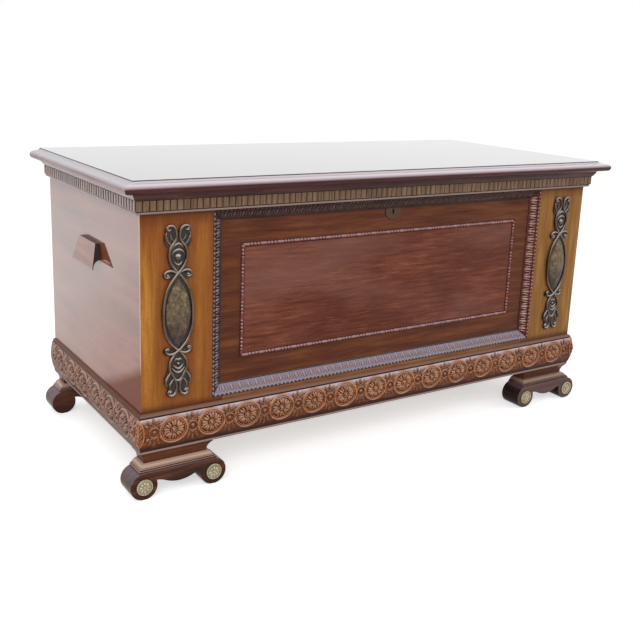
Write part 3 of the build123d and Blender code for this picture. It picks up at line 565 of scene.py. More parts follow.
def cornice_end_wood():
    """Skirt of the ends, its tones painted grey as a reflection of the bright room."""
    return wood("cornice_end_wood", ((116, 92, 90), (144, 118, 116), (168, 142, 138)), along="y",
                coat=0.4, low=0.12, high=0.25, painted_sheen=0.5, reflection=0.2, inside=True, finish=painted_band_shade)


def reed_wood(name, along, coat, tones):
    """The tiles of the reeded band."""
    return wood(name, tones, along=along, streak=0.006, coat=coat, coat_ior=1.55, low=0.12, high=0.25,
                hollow=0.3, hollow_reach=0.003, edge=0.3, reflection=0.2)


def side_painted_reflection(tree, at, colour):
    """The sides lose their coat and are painted darker and warm low down at the front, a painted reflection
    of the darker ground; they are rubbed pale along the front corner.
    """
    xyz = axes(tree, at)
    drift = noise(tree, stretch(tree, at, 5.0, 5.0, 5.0), 2.0)
    back = minus(tree, xyz[1], SIDE_FRONT)
    level = plus(tree, scaled(tree, drift, 30 * MM, xyz[2]), times(tree, back, 0.42))
    shine = spread(tree, level, BASE_HIGH + 84 * MM, BASE_HIGH + 108 * MM, 0.02, 1.0)
    # painted reflection: low and front parts turn orange brown and lose their coat
    painted_low_reflection = scaled(tree, shine, -0.92, 0.92)
    colour = blend(tree, painted_low_reflection, colour, paint(118, 50, 20))
    warm = times(tree, spread(tree, drift, 0.45, 0.7, 0.0, 0.5), shine)
    colour = blend(tree, warm, colour, paint(176, 100, 68))
    corner = spread(tree, back, 5 * MM, 2 * MM, 0.0, 0.6)
    colour = blend(tree, times(tree, corner, shine), colour, paint(236, 200, 180))
    fade = spread(tree, level, BASE_HIGH + 90 * MM, CASE_TOP - 40 * MM, 0.52, 1.0)
    return colour, times(tree, shine, fade)


def side_wood():
    """Veneer of the ends under a thick coat that mirrors the room."""
    return wood("side_wood", ((112, 56, 34), (140, 76, 50), (160, 94, 66)), along="y", streak=0.03,
                wander=0.03, pores=0.15, hollow=0.3, coat=1.0, coat_ior=2.8, reflection=0.08, low=0.05,
                high=0.12, relief=0.02, inside=True, finish=side_painted_reflection)


def stile_stain_and_shade(tree, at, colour):
    """Redder and deeper towards the panel and the foot, with painted shade under the lid and a painted
    shadow round the applique; darkest along the foot, partly grime and partly painted shade, and just under
    the lid, as painted shade.
    """
    xyz = axes(tree, at)
    across = absolute(tree, xyz[0])
    drift = scaled(tree, noise(tree, stretch(tree, at, 18.0, 18.0, 7.0), 2.0), 50 * MM, -25 * MM)
    inner = spread(tree, plus(tree, across, drift), FRAME_OUT + 60 * MM, FRAME_OUT, 0.0, 0.85)
    # painted shade under the lid's overhang
    upper = spread(tree, plus(tree, xyz[2], drift), CASE_TOP - 105 * MM, CASE_TOP - 20 * MM, 0.0, 0.85)
    off = absolute(tree, minus(tree, across, (SIDE + FRAME_OUT) / 2))
    # painted shadow round the applique
    painted_applique_shadow = spread(tree, plus(tree, off, times(tree, drift, 0.5)), 56 * MM, 30 * MM, 0.0, 0.8)
    foot = spread(tree, plus(tree, xyz[2], drift), BASE_HIGH + 40 * MM, BASE_HIGH - 10 * MM, 0.0, 0.9)
    depth = larger(tree, larger(tree, inner, upper), larger(tree, painted_applique_shadow, foot))
    strength = scaled(tree, math(tree, "LESS_THAN", xyz[0], 0.0), 0.5, 0.35)
    colour = blend(tree, times(tree, depth, strength), colour, paint(116, 56, 27))
    # dark along the foot: partly grime in the joint, partly painted shade; dark under the lid: painted shade
    grime = spread(tree, xyz[2], BASE_HIGH + 14 * MM, BASE_HIGH + 3 * MM, 0.0, 0.7)
    shade = spread(tree, xyz[2], CASE_TOP - 26 * MM, CASE_TOP - 4 * MM, 0.0, 0.5)
    return blend(tree, larger(tree, grime, shade), colour, paint(64, 32, 20)), 1.0


def stile_wood(name, tones):
    """Golden upright veneer of the stiles."""
    return wood(name, tones, along="z", streak=0.011, wander=0.008, pores=0.6, shift=1.3, coat=0.0,
                low=0.3, high=0.45, reflection=0.12, edge=0.3, hollow=0.75, hollow_reach=0.02,
                inside=True, finish=stile_stain_and_shade)


def rail_wood():
    """Rails over and under the panels."""
    return wood("rail_wood", ((104, 62, 34), (132, 84, 48), (152, 104, 64)), streak=0.008, shift=2.1,
                coat=0.0, low=0.3, high=0.45, reflection=0.15, inside=True)


def field_wood():
    """Brown ground of the recessed field."""
    return wood("field_wood", ((72, 33, 17), (94, 48, 27), (120, 68, 38)), streak=0.014, wander=0.012,
                shift=0.4, coat=0.0, low=0.25, high=0.4, reflection=0.15, hollow=0.7, hollow_reach=0.035,
                hollow_full=0.5, inside=True)


def panel_age(tree, at, colour):
    """Darker and milkier patches, and fine pale scratches along the grain."""
    patch = noise(tree, stretch(tree, at, 3.5, 9.0, 9.0), 3.0, 0.6)
    colour = blend(tree, spread(tree, patch, 0.56, 0.36, 0.0, 0.6), colour, paint(80, 34, 22))
    milk = noise(tree, stretch(tree, at, 2.2, 5.0, 5.0), 2.0)
    colour = blend(tree, spread(tree, milk, 0.5, 0.68, 0.0, 0.4), colour, paint(136, 94, 84))
    fine = noise(tree, stretch(tree, at, 24.0, 500.0, 500.0), 1.0, 0.4)
    return blend(tree, spread(tree, fine, 0.64, 0.74, 0.0, 0.25), colour, paint(164, 108, 80)), 1.0


def mahogany():
    """Straight-grained middle panel."""
    return wood("mahogany", ((86, 40, 28), (110, 58, 41), (134, 78, 56)), streak=0.006, line=0.0009,
                wander=0.004, pores=0.8, shift=5.2, coat=0.0, low=0.25, high=0.4, reflection=0.14,
                hollow=0.6, inside=True, finish=panel_age)


def bead_ground_wood():
    """Dark red strip under the beads."""
    return wood("bead_ground_wood", ((44, 14, 14), (66, 24, 22), (86, 34, 30)), streak=0.006, pores=0.2,
                reflection=0.2)


def bead_wood():
    """Red beads with a painted sheen on top and painted shade on their under faces."""
    return wood("bead_wood", ((86, 30, 26), (114, 46, 38), (144, 70, 58)), streak=0.006, pores=0.1,
                hollow_reach=0.003, hollow=0.9, hollow_full=0.5, coat=0.9, low=0.08, high=0.16, edge=0.5,
                painted_sheen=0.85, painted_sheen_tone=(206, 168, 164), painted_sheen_full=0.8, painted_under_shade=0.9)


BLACK, RUST = ((34, 17, 15), (52, 28, 24), (72, 42, 35)), ((58, 19, 15), (84, 31, 23), (108, 46, 34))
DUSK, PALE = ((60, 38, 33), (84, 58, 51), (110, 80, 71)), ((92, 62, 54), (126, 90, 82), (158, 118, 108))
PINK = ((136, 94, 82), (172, 130, 116), (202, 164, 148))
# Each side of the frame: its grain, coat, painted sheen, painted shade in hollows, tones of the moulding and
# tones of the carving. The sides' tones are lit and shaded copies of one wood: the top painted dark as shade
# under the lid, the bottom pale as a painted reflection.
FRAME_SIDES = {
    "top": ("x", 0.05, 0.0, 0.85, BLACK, DUSK),
    "bottom": ("x", 0.5, 0.75, 0.3, BLACK, PALE),
    "left": ("z", 0.4, 0.6, 0.85, BLACK, PALE),
    "right": ("z", 0.1, 0.3, 0.85, RUST, PINK),
}


def frame_wood(side):
    """Moulding of one side of the frame."""
    along, coat, painted_sheen, hollow, tones, _ = FRAME_SIDES[side]
    return wood("frame_wood_" + side, tones, along=along, streak=0.006, pores=0.3, hollow_reach=0.006,
                hollow=hollow, hollow_full=0.5, coat=coat, reflection=0.15, low=0.12, high=0.25, edge=0.4,
                painted_sheen=painted_sheen)


def frame_carved_wood(side):
    """Pearls and leaves of one side of the frame, painted brighter than its moulding as a highlight on the
    raised carving.
    """
    along, coat, painted_sheen, hollow, _, tones = FRAME_SIDES[side]
    return wood("frame_carved_wood_" + side, tones, along=along, streak=0.006, pores=0.2,
                hollow_reach=0.004, hollow=hollow, hollow_full=0.5, coat=1.6 * coat, reflection=0.3,
                low=0.1, high=0.2, edge=0.55, painted_sheen=painted_sheen)


def base_painted_light(tree, at, colour, ledge_tone, ledge_shine, painted_sheen):
    """Brown ledge over a dark line, a painted sheen below that, and painted shade along the foot where the
    bulge turns under.
    """
    height = axes(tree, at)[2]
    drift = noise(tree, stretch(tree, at, 70.0, 70.0, 70.0), 4.0, 0.65)
    level = scaled(tree, drift, 14 * MM, height)
    # painted sheen on the top of the bulge
    painted_sheen_band = spread(tree, level, BASE_HIGH - 11 * MM, BASE_HIGH - 2 * MM, 0.0, painted_sheen)
    colour = blend(tree, painted_sheen_band, colour, paint(206, 190, 194))
    ledge = math(tree, "GREATER_THAN", height, BASE_HIGH - LEDGE + 0.3 * MM)
    colour = blend(tree, ledge, colour, paint(*ledge_tone))
    dark_line = absolute(tree, minus(tree, height, BASE_HIGH - LEDGE - 0.6 * MM))
    # painted shade low down, where the bulge turns under
    foot = spread(tree, level, BASE_LOW + 22 * MM, BASE_LOW + 12 * MM, 0.0, 0.9)
    dark = larger(tree, spread(tree, dark_line, 1.5 * MM, 0.7 * MM, 0.0, ledge_shine), foot)
    dull = larger(tree, dark, times(tree, ledge, 1.0 - ledge_shine))
    return blend(tree, dark, colour, paint(40, 25, 24)), minus(tree, 1.0, dull)


def base_front_painted_light(tree, at, colour):
    """The front's ledge shines and its painted sheen is strong."""
    return base_painted_light(tree, at, colour, (136, 100, 84), 1.0, 0.85)


def base_end_painted_light(tree, at, colour):
    """The ends' ledge is dull and they have no painted sheen."""
    return base_painted_light(tree, at, colour, (104, 62, 42), 0.04, 0.0)


def carved_ground_wood(name, along, finish, coat):
    """Base moulding behind its carving."""
    return wood(name, ((82, 40, 18), (118, 61, 28), (148, 84, 40)), along=along, streak=0.005,
                hollow_reach=0.006, hollow=0.8, hollow_full=0.45, edge=0.5, edge_radius=0.0015, coat=coat,
                reflection=0.12, relief=0.5, painted_under_shade=0.9, finish=finish)


def carved_wood(name, along, coat, tones):
    """Carving of the base, with painted shade in its hollows and a painted sheen on top."""
    return wood(name, tones, along=along, streak=0.008, pores=0.25, hollow_reach=0.005, hollow=0.95,
                hollow_full=0.5, edge=0.55, edge_radius=0.0008, coat=coat, reflection=0.25, low=0.12,
                high=0.25, painted_sheen=0.5, painted_sheen_tone=(220, 184, 168), painted_under_shade=0.8)


def foot_painted_light(tree, at, colour):
    """The right-hand feet are painted greyer in front, as a reflection, and nearly black on their inner
    ends, as shade.
    """
    right = math(tree, "GREATER_THAN", axes(tree, at)[0], 0.0)
    facing = facing_axes(tree)
    inner = times(tree, spread(tree, facing[0], -0.3, -0.7, 0.0, 0.85), right)
    front = times(tree, spread(tree, facing[1], -0.6, -0.9, 0.0, 0.2), right)
    # painted reflection on the right feet's fronts, painted shade on their inner ends
    colour = blend(tree, front, colour, paint(150, 128, 126))
    return blend(tree, inner, colour, paint(24, 14, 12)), minus(tree, 1.0, inner)


def foot_wood():
    """Dark dull feet."""
    return wood("foot_wood", ((48, 24, 16), (74, 39, 26), (102, 58, 39)), pores=0.35, coat=0.25,
                reflection=0.15, high=0.28, hollow_reach=0.02, hollow=0.6, edge=0.3, painted_sheen=0.2,
                painted_under_shade=0.6, finish=foot_painted_light)


def pedestal_painted_shade(tree, at, colour):
    """The right-hand pedestals are painted darker as shade, so less of their painted sheen shows."""
    right = math(tree, "GREATER_THAN", axes(tree, at)[0], 0.0)
    # painted shade on the right-hand pedestals
    return blend(tree, times(tree, right, 0.5), colour, paint(78, 44, 34)), 1.0


def pedestal_wood():
    """Feet's mouldings with a painted sheen on their upper faces."""
    return wood("pedestal_wood", ((70, 35, 21), (98, 51, 31), (124, 72, 47)), streak=0.01, pores=0.25,
                coat=0.6, reflection=0.2, low=0.12, high=0.25, hollow_reach=0.014, hollow=0.7, edge=0.35,
                painted_sheen=0.62, painted_sheen_tone=(232, 198, 176), painted_sheen_full=0.7, painted_under_shade=0.9,
                finish=pedestal_painted_shade)


def handle_painted_shade(tree, at, colour):
    """Only the outer faces keep their shine; the ends and the grip are painted dark, as shade."""
    facing = facing_axes(tree)[0]
    outer = spread(tree, absolute(tree, facing), 0.5, 0.7)
    # painted shade on the faces that do not look outward
    return blend(tree, outer, paint(54, 34, 30), colour), scaled(tree, outer, 0.9, 0.1)


def handle_wood():
    """Handles of the ends, coated like the veneer behind them."""
    return wood("handle_wood", ((144, 92, 72), (170, 112, 88), (186, 128, 104)), along="y", coat=1.0,
                coat_ior=2.8, reflection=0.08, low=0.05, high=0.12, hollow=0.4, hollow_reach=0.02,
                finish=handle_painted_shade)


def board_wood():
    """Unpolished boards, with a polished lip where the foot of the case shows."""
    def lip(tree, at, colour):
        inside = use(tree, INSIDE, {"Vector": at})["Inside"]
        return blend(tree, minus(tree, 1.0, inside), colour, paint(150, 120, 108)), 1.0
    return wood("board_wood", ((136, 101, 66), (155, 118, 80), (172, 134, 94)), streak=0.011, coat=0.0,
                low=0.5, high=0.7, reflection=0.3, hollow=0.4, hollow_reach=0.03, relief=0.15, finish=lip)


def back_wood():
    """Unpolished back."""
    return wood("back_wood", ((130, 95, 60), (148, 111, 73), (166, 127, 86)), streak=0.011, pores=0.6,
                coat=0.0, low=0.5, high=0.7, reflection=0.3, hollow=0.4, hollow_reach=0.03, relief=0.15)


def applique_plate_wood():
    """Fretted plate behind the scrolls, painted nearly black as the shade between them."""
    return wood("applique_plate_wood", ((32, 24, 20), (50, 38, 31), (70, 55, 44)), along="z",
                streak=0.005, pores=0.2, hollow_reach=0.005, hollow=0.75, hollow_full=0.45, coat=0.2,
                reflection=0.2, low=0.18, high=0.32, edge=0.4)


def applique_wood():
    """Scrolls of the appliques, painted bright along their backs as a highlight and a painted sheen."""
    return wood("applique_wood", ((54, 38, 29), (82, 62, 48), (116, 92, 74)), along="z", streak=0.005,
                pores=0.1, hollow_reach=0.005, hollow=0.95, hollow_full=0.5, coat=0.5, low=0.1, high=0.18,
                edge=0.7, edge_radius=0.0007, painted_sheen=0.8, painted_sheen_tone=(222, 212, 202), painted_sheen_full=0.6,
                painted_under_shade=0.95)


def cabochon_wood():
    """Bronzed olive dome with a faint engraved mottle, painted darker and browner on its lower part as
    shade.
    """
    material, tree, shader, at = start_material("cabochon_wood")
    wear_and_light = use(tree, WEAR_AND_LIGHT, {"Edge Radius": 0.001, "Hollow Reach": 0.01})
    polish = use(tree, POLISH, {"Vector": at, "Low": 0.22, "High": 0.4})
    cloud = noise(tree, stretch(tree, at, 110.0, 110.0, 80.0), 4.0, 0.7)
    cells = put(tree, "ShaderNodeTexVoronoi", {"Vector": at, "Scale": 150.0}, feature="DISTANCE_TO_EDGE")
    cut = spread(tree, cells.outputs["Distance"], 0.0, 0.12)
    olives = (paint(60, 45, 30), paint(100, 80, 53), paint(146, 124, 86))
    browns = (paint(38, 26, 20), paint(60, 43, 33), paint(86, 64, 50))
    olive = ramp(tree, cloud, (0.33, 0.5, 0.69), olives)
    brown = ramp(tree, cloud, (0.36, 0.5, 0.64), browns)
    height = axes(tree, at)[2]
    # painted shade: the lower part of the dome turns dark brown
    colour = blend(tree, spread(tree, height, CABOCHON_MIDDLE - 42 * MM, CABOCHON_MIDDLE), brown, olive)
    colour = blend(tree, times(tree, minus(tree, 1.0, cut), 0.45), colour, paint(56, 44, 32))
    # painted shade in hollows
    colour = blend(tree, times(tree, wear_and_light["Hollow"], 0.8), colour, paint(26, 19, 14))
    engraved = plus(tree, times(tree, cut, 0.6), cloud)
    bump = put(tree, "ShaderNodeBump", {"Strength": 0.7, "Distance": 0.001, "Height": engraved,
                                        "Normal": wear_and_light["Normal"]})
    feed(tree, shader, {"Base Color": colour, "Roughness": polish["Roughness"], "Normal": bump.outputs[0],
                        "Coat Weight": 0.2, "Coat Roughness": 0.15, "Specular IOR Level": 0.35})
    return material


# ---------------------------------------------------------------- metals
def metal(name, tones, low, high, spots=0.35):
    """Old metal: rubbed bright on its edges, dull between, dark in its hollows."""
    material, tree, shader, at = start_material(name)
    bright, dull, grime = (paint(*tone) for tone in tones)
    wear_and_light = use(tree, WEAR_AND_LIGHT, {"Edge Radius": 0.0006, "Hollow Reach": 0.005, "Hollow Full": 0.55})
    polish = use(tree, POLISH, {"Vector": at, "Low": low, "High": high})
    patch = noise(tree, stretch(tree, at, 120.0, 120.0, 120.0), 4.0, 0.6)
    colour = ramp(tree, patch, (0.35, 0.62), (dull, bright))
    colour = blend(tree, times(tree, wear_and_light["Hollow"], 0.85), colour, grime)
    colour = blend(tree, times(tree, wear_and_light["Edge"], 0.5), colour, bright)
    tarnish = times(tree, spread(tree, patch, 0.6, 0.42), spots)
    bump = put(tree, "ShaderNodeBump", {"Strength": 0.12, "Distance": 0.0003, "Height": patch,
                                        "Normal": wear_and_light["Normal"]})
    feed(tree, shader, {"Base Color": colour, "Roughness": polish["Roughness"], "Normal": bump.outputs[0],
                        "Metallic": minus(tree, 1.0, tarnish)})
    return material


def rosette_brass():
    """Pale polished brass of the feet's rosettes."""
    return metal("rosette_brass", ((236, 224, 190), (192, 174, 132), (56, 42, 28)), 0.28, 0.48)


def lock_brass():
    """Brown, nearly black brass of the keyhole's plate."""
    return metal("lock_brass", ((92, 74, 50), (56, 40, 28), (28, 19, 14)), 0.35, 0.55, 0.8)


def hinge_brass():
    """Yellow brass of the hinges and their screws."""
    return metal("hinge_brass", ((206, 176, 112), (158, 128, 76), (56, 42, 26)), 0.25, 0.42)


def dark_steel():
    """Dull steel of the lock and the stays."""
    return metal("dark_steel", ((150, 148, 144), (100, 98, 95), (34, 32, 30)), 0.3, 0.5)


# ---------------------------------------------------------------- base carving
def circle_through(*points):
    """Centre and radius of the circle through three points."""
    corners = [Vector(point) for point in points]
    area = across = up = 0.0
    for index, corner in enumerate(corners):
        after, last = corners[index - 2], corners[index - 1]
        area += 2 * corner.x * (after.y - last.y)
        across += corner.length_squared * (after.y - last.y)
        up += corner.length_squared * (last.x - after.x)
    centre = Vector((across / area, up / area))
    return centre, (centre - corners[0]).length


BULGE_CENTRE, BULGE_RADIUS = circle_through(
    (4 * MM, BASE_LOW), (10.6 * MM, BASE_LOW + 31.5 * MM), (6.5 * MM, BASE_HIGH - LEDGE))


def bulge(z):
    """How far the base moulding stands out of the case at a height."""
    rise = min(max(z, BASE_LOW), BASE_HIGH) - BULGE_CENTRE.y
    return BULGE_CENTRE.x + sqrt(BULGE_RADIUS**2 - rise**2)


def rosette_unit():
    """Flower in a double ring: eight heart-shaped petals, sepals between them and a boss."""
    bm = new_mesh()
    wire_ring(bm, 0, 0, 26.4 * MM, 2.1 * MM, 0.6 * MM)
    wire_ring(bm, 0, 0, 22.6 * MM, 0.9 * MM, 0.6 * MM)
    for index in range(8):
        petal = turn(45 * index, "Z")
        for lean in (-1, 1):
            lobe = petal @ turn(9.2 * lean, "Z") @ place(13.6 * MM, 0, 0)
            blob(bm, lobe @ size(6.6 * MM, 2.7 * MM, 4.2 * MM))
        rib = petal @ turn(22.5, "Z") @ place(18.2 * MM, 0, 0) @ turn(180, "Y")
        spindle(bm, 4.6 * MM, 1.5 * MM, 2.2 * MM, rib, around=6, along=4)
    wire_ring(bm, 0, 0, 5.4 * MM, 0.9 * MM, 1.2 * MM, around=20)
    blob(bm, place(0, 0, 0.6 * MM) @ size(3.7 * MM, 3.7 * MM, 3.4 * MM), 12, 8)
    bmesh.ops.transform(bm, matrix=size(1.0, 0.93, 1.0), verts=bm.verts)
    return as_unit(bm, "rosette_unit")


def link_unit():
    """Small ring and boss between two rosettes, with five-lobed leaf tips above and below."""
    bm = new_mesh()
    wire_ring(bm, 0, 0, 9.4 * MM, 1.8 * MM, 0.2 * MM, around=24)
    blob(bm, size(4.0 * MM, 4.0 * MM, 2.8 * MM), 10, 6)
    lobes = ((-46, 17.6, 5.0), (-24, 20.0, 6.6), (0, 21.0, 6.8), (24, 20.0, 6.6), (46, 17.6, 5.0))
    for up in (1, -1):
        for lean, far, half in lobes:
            leaf = turn(90 * up, "Z") @ turn(lean, "Z") @ place(far * MM, 0, 0)
            spindle(bm, half * MM, 3.2 * MM, 2.6 * MM, leaf, around=6, along=5)
        for side in (-1, 1):
            wire_ring(bm, side * 5.6 * MM, up * 13.6 * MM, 3.0 * MM, 1.0 * MM, 0.2 * MM, around=14)
        blob(bm, place(0, up * 12.6 * MM, 0) @ size(2.2 * MM, 2.2 * MM, 2.2 * MM))
    return as_unit(bm, "link_unit")


def corner_unit():
    """Oval leaf with a midrib, half on each side of a mitre."""
    bm = new_mesh()
    wire_ring(bm, 0, 0, 10.4 * MM, 1.7 * MM, 0.2 * MM, around=28)
    bmesh.ops.transform(bm, matrix=size(1.0, 2.25, 1.0), verts=bm.verts)
    spindle(bm, 19 * MM, 2.3 * MM, 2.4 * MM, turn(90, "Z"), around=8, along=8)
    for side in (-1, 1):
        for up in (-12, -4, 4, 12):
            leaf = place(side * 4.6 * MM, up * MM, 0) @ turn(90 - 38 * side, "Z")
            spindle(bm, 5.2 * MM, 1.4 * MM, 1.6 * MM, leaf, around=6, along=4)
    return as_unit(bm, "corner_unit")


def lay_on_front(bm):
    """Bends flat carving onto the front bulge, and round the corners past its ends."""
    for vert in bm.verts:
        along, up, out = vert.co
        reach = bulge(up)
        over = abs(along) - SIDE - reach
        if over <= 0:
            vert.co = (along, FACE - reach - out, up)
        else:
            sign = 1 if along > 0 else -1
            vert.co = (sign * (SIDE + reach + out), FACE - reach + over, up)


def lay_on_end(bm, sign):
    """Bends flat carving onto the bulge of an end."""
    for vert in bm.verts:
        along, up, out = vert.co
        vert.co = (sign * (SIDE + bulge(up) + out), along, up)


def row(unit, count, middle=0.0):
    """A row of carved units along the base, flat, to be laid on the bulge."""
    bm = new_mesh()
    for index in range(count):
        stamp(bm, unit, place(middle + (index - (count - 1) / 2) * ROSETTE_PITCH, ROSETTE_HEIGHT, 0))
    return bm


def base_carving():
    """Rosettes in rings and leaves between them, round the base moulding."""
    front = carved_wood("carved_wood_front", "x", 0.5, ((122, 64, 30), (168, 102, 56), (204, 136, 86)))
    leaves = carved_wood("carved_leaves_front", "x", 0.3, ((90, 44, 20), (124, 68, 34), (154, 94, 50)))
    # the ends' tones are greyer than the front's: a painted reflection of the bright room
    end = carved_wood("carved_wood_end", "y", 0.6, ((112, 68, 52), (144, 98, 78), (176, 128, 106)))
    rosette, link, corner = rosette_unit(), link_unit(), corner_unit()
    on_front, on_end = 14, 6
    bm = row(rosette, on_front)
    for sign in (-1, 1):
        stamp(bm, corner, place(sign * (SIDE + bulge(ROSETTE_HEIGHT)), ROSETTE_HEIGHT, 0))
    lay_on_front(bm)
    add_piece("base_carving_front", bm, front, "case")
    bm = row(link, on_front + 1)
    lay_on_front(bm)
    add_piece("base_leaves_front", bm, leaves, "case")
    middle = (FACE - BASE_OUT + BACK) / 2
    for name, sign in ENDS:
        bm = row(rosette, on_end, middle)
        stamp(bm, as_unit(row(link, on_end + 1, middle), "links_" + name), place())
        cut_flat(bm, (BACK, 0, 0), (1, 0, 0))
        lay_on_end(bm, sign)
        add_piece("base_carving_" + name, bm, end, "case")


# ---------------------------------------------------------------- carved frame round the front panel
def frame_height(across):
    """Height of the frame moulding over the panel, at a distance in from its outer edge."""
    points = ((0, 13), (4.4, 13), (5.94, 11.4), (19.8, 1.4), (22, 1.2))
    across /= MM
    for (start, low), (end, high) in zip(points, points[1:]):
        if across <= end:
            return (low + (high - low) * (across - start) / (end - start)) * MM
    return 1.2 * MM


def pearl_unit():
    """One pearl of the frame's outer row."""
    bm = new_mesh()
    blob(bm, size(3.0 * MM, 2.2 * MM, 2.7 * MM), 8, 6)
    return as_unit(bm, "pearl_unit")


def leaf_unit():
    """Pointed leaf across the slope, with a thin dart beside it."""
    bm = new_mesh()
    spindle(bm, 6.8 * MM, 2.9 * MM, 2.8 * MM, turn(90, "Z"), around=8, along=6)
    for side in (-1, 1):
        dart = place(side * 5.6 * MM, 0, 0) @ turn(90 + 12 * side, "Z")
        spindle(bm, 6.2 * MM, 1.5 * MM, 2.4 * MM, dart, 6, 5)
    return as_unit(bm, "leaf_unit")


def row_of(bm, unit, pitch, start, end, across, sunk):
    """Stamps a unit from start to end along a length, at the whole number nearest to the pitch."""
    count = round((end - start) / pitch)
    for index in range(count):
        along = start + (index + 0.5) * (end - start) / count
        stamp(bm, unit, place(along, across, -sunk))


def frame_carving():
    """Rows of pearls and leaves on the four lengths of the frame."""
    pearl, leaf = pearl_unit(), leaf_unit()
    high, low = CASE_TOP, FRAME_LOW
    wide, tall = 2 * FRAME_OUT, high - low
    # Each side: its length, how deep its pearls are sunk, and where a carved point comes to lie.
    runs = {
        "top": (wide, 0.4, lambda along, across, out: (along - FRAME_OUT, RECESS - out, high - across)),
        "bottom": (wide, 1.5, lambda along, across, out: (along - FRAME_OUT, RECESS - out, low + across)),
        "left": (tall, 0.4, lambda along, across, out: (across - FRAME_OUT, RECESS - out, low + along)),
        "right": (tall, 1.5, lambda along, across, out: (FRAME_OUT - across, RECESS - out, low + along)),
    }
    for side, (length, sunk, lay) in runs.items():
        bm = new_mesh()
        row_of(bm, pearl, PEARL_PITCH, 4 * MM, length - 4 * MM, 2.5 * MM, sunk * MM)
        mitre = FRAME_WIDE - 5 * MM
        row_of(bm, leaf, LEAF_PITCH, mitre, length - mitre, 12.8 * MM, 0.2 * MM)
        for vert in bm.verts:
            along, across, out = vert.co
            vert.co = lay(along, across, frame_height(across) + out)
        add_piece("frame_carving_" + side, bm, frame_carved_wood(side), "case")


# ---------------------------------------------------------------- bead and reel round the middle panel
def bead_profile():
    """One reel and three beads, as (along, radius) pairs in millimetres."""
    reel, bead = 14.5, 7.23
    profile = [(0.0, 0.9), (0.3, 2.1), (1.2, 2.8), (2.6, 3.0), (11.9, 3.0), (13.3, 2.8), (14.2, 2.1),
               (reel, 0.9)]
    for index in range(3):
        start = reel + bead * index
        profile += [(start + 0.9, 2.1), (start + 2.2, 2.9), (start + 3.6, 3.15), (start + 5.0, 2.9),
                    (start + 6.3, 2.1), (start + bead, 0.9)]
    return profile


def bead_strip():
    """The low dark strip the beads are planted on."""
    bm = copy_of_node("bead_frame")
    flatten = place(0, RECESS, 0) @ size(1, 0.22, 1) @ place(0, -RECESS, 0)
    bmesh.ops.transform(bm, matrix=flatten, verts=bm.verts)
    add_piece("bead_strip", bm, bead_ground_wood(), "case", ["bead_frame"])


def bead_and_reel():
    """Turned strings of beads and reels, each cut flat at the back."""
    period = 36.2 * MM
    half_strip = 4.5 * MM
    profile = bead_profile()
    low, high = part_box("bead_frame")
    middle_x, middle_z = (low.x + high.x) / 2, (low.z + high.z) / 2
    half_x, half_z = (high.x - low.x) / 2 - half_strip, (high.z - low.z) / 2 - half_strip
    lie = RECESS - 0.9 * MM
    runs = (
        (half_x, place(middle_x, lie, middle_z + half_z) @ turn(90, "Y")),
        (half_x, place(middle_x, lie, middle_z - half_z) @ turn(90, "Y")),
        (half_z, place(middle_x - half_x, lie, middle_z)),
        (half_z, place(middle_x + half_x, lie, middle_z)),
    )
    bm = new_mesh()
    for half, matrix in runs:
        count = max(1, round(2 * half / period))
        fit = 2 * half / (count * period)
        string = [(-half - 0.2 * MM, 0.0)]
        for index in range(count):
            start = -half + index * period * fit
            string += [(start + along * MM * fit, radius * MM) for along, radius in profile]
        string += [(half + 0.2 * MM, 0.0)]
        turned = new_mesh()
        lathe(turned, string, matrix, 8)
        cut_flat(turned, (0, RECESS - 0.05 * MM, 0), (0, 1, 0))
        stamp(bm, as_unit(turned, "bead_string"), place())
    add_piece("bead_and_reel", bm, bead_wood(), "case")


# ---------------------------------------------------------------- reeded band of the lid
def reed_unit(width, height):
    """Tile with its two upright edges rounded."""
    bm = new_mesh()
    block = place(0, 0, 0.3 * MM) @ size(width, height, 2.2 * MM)
    box = bmesh.ops.create_cube(bm, size=1, matrix=block)["verts"]
    rims = [edge for edge in edges_of(box) if all(vert.co.z > 0 for vert in edge.verts)
            and abs(edge.verts[0].co.x - edge.verts[1].co.x) < 1e-6]
    bmesh.ops.bevel(bm, geom=rims, offset=1.1 * MM, offset_type="OFFSET", segments=3, affect="EDGES",
                    profile=0.5, material=-1)
    return as_unit(bm, "reed_unit")


def reed_row(length, groove, at):
    """Tiles side by side along a length, with grooves between them, from a place on."""
    count = round(length / REED_PITCH)
    pitch = length / count
    tile = reed_unit(pitch - groove, BAND_HIGH - BAND_LOW - 1.2 * MM)
    bm = new_mesh()
    for index in range(count):
        stamp(bm, tile, at @ place((index + 0.5) * pitch, 0, 0) @ turn(90, "X"))
    return bm


def reeds():
    """Light rounded tiles between the grooves of the band, narrower at the ends of the chest."""
    front = reed_wood("reed_wood_front", "z", 0.1, ((88, 64, 48), (116, 88, 66), (138, 110, 84)))
    # the ends' tiles are painted pale, a painted reflection of the bright room
    end = reed_wood("reed_wood_end", "z", 0.9, ((140, 114, 106), (168, 140, 132), (188, 160, 152)))
    corner, edge, middle = SIDE + BAND_OUT, FACE - BAND_OUT, (BAND_LOW + BAND_HIGH) / 2
    bm = reed_row(2 * corner, 1.4 * MM, place(-corner, edge, middle))
    add_piece("reeds_front", bm, front, "lid")
    for name, sign in ENDS:
        start = place(sign * corner, edge if sign > 0 else BACK, middle) @ turn(90 * sign, "Z")
        bm = reed_row(BACK - edge, 5.6 * MM, start)
        add_piece("reeds_" + name, bm, end, "lid")


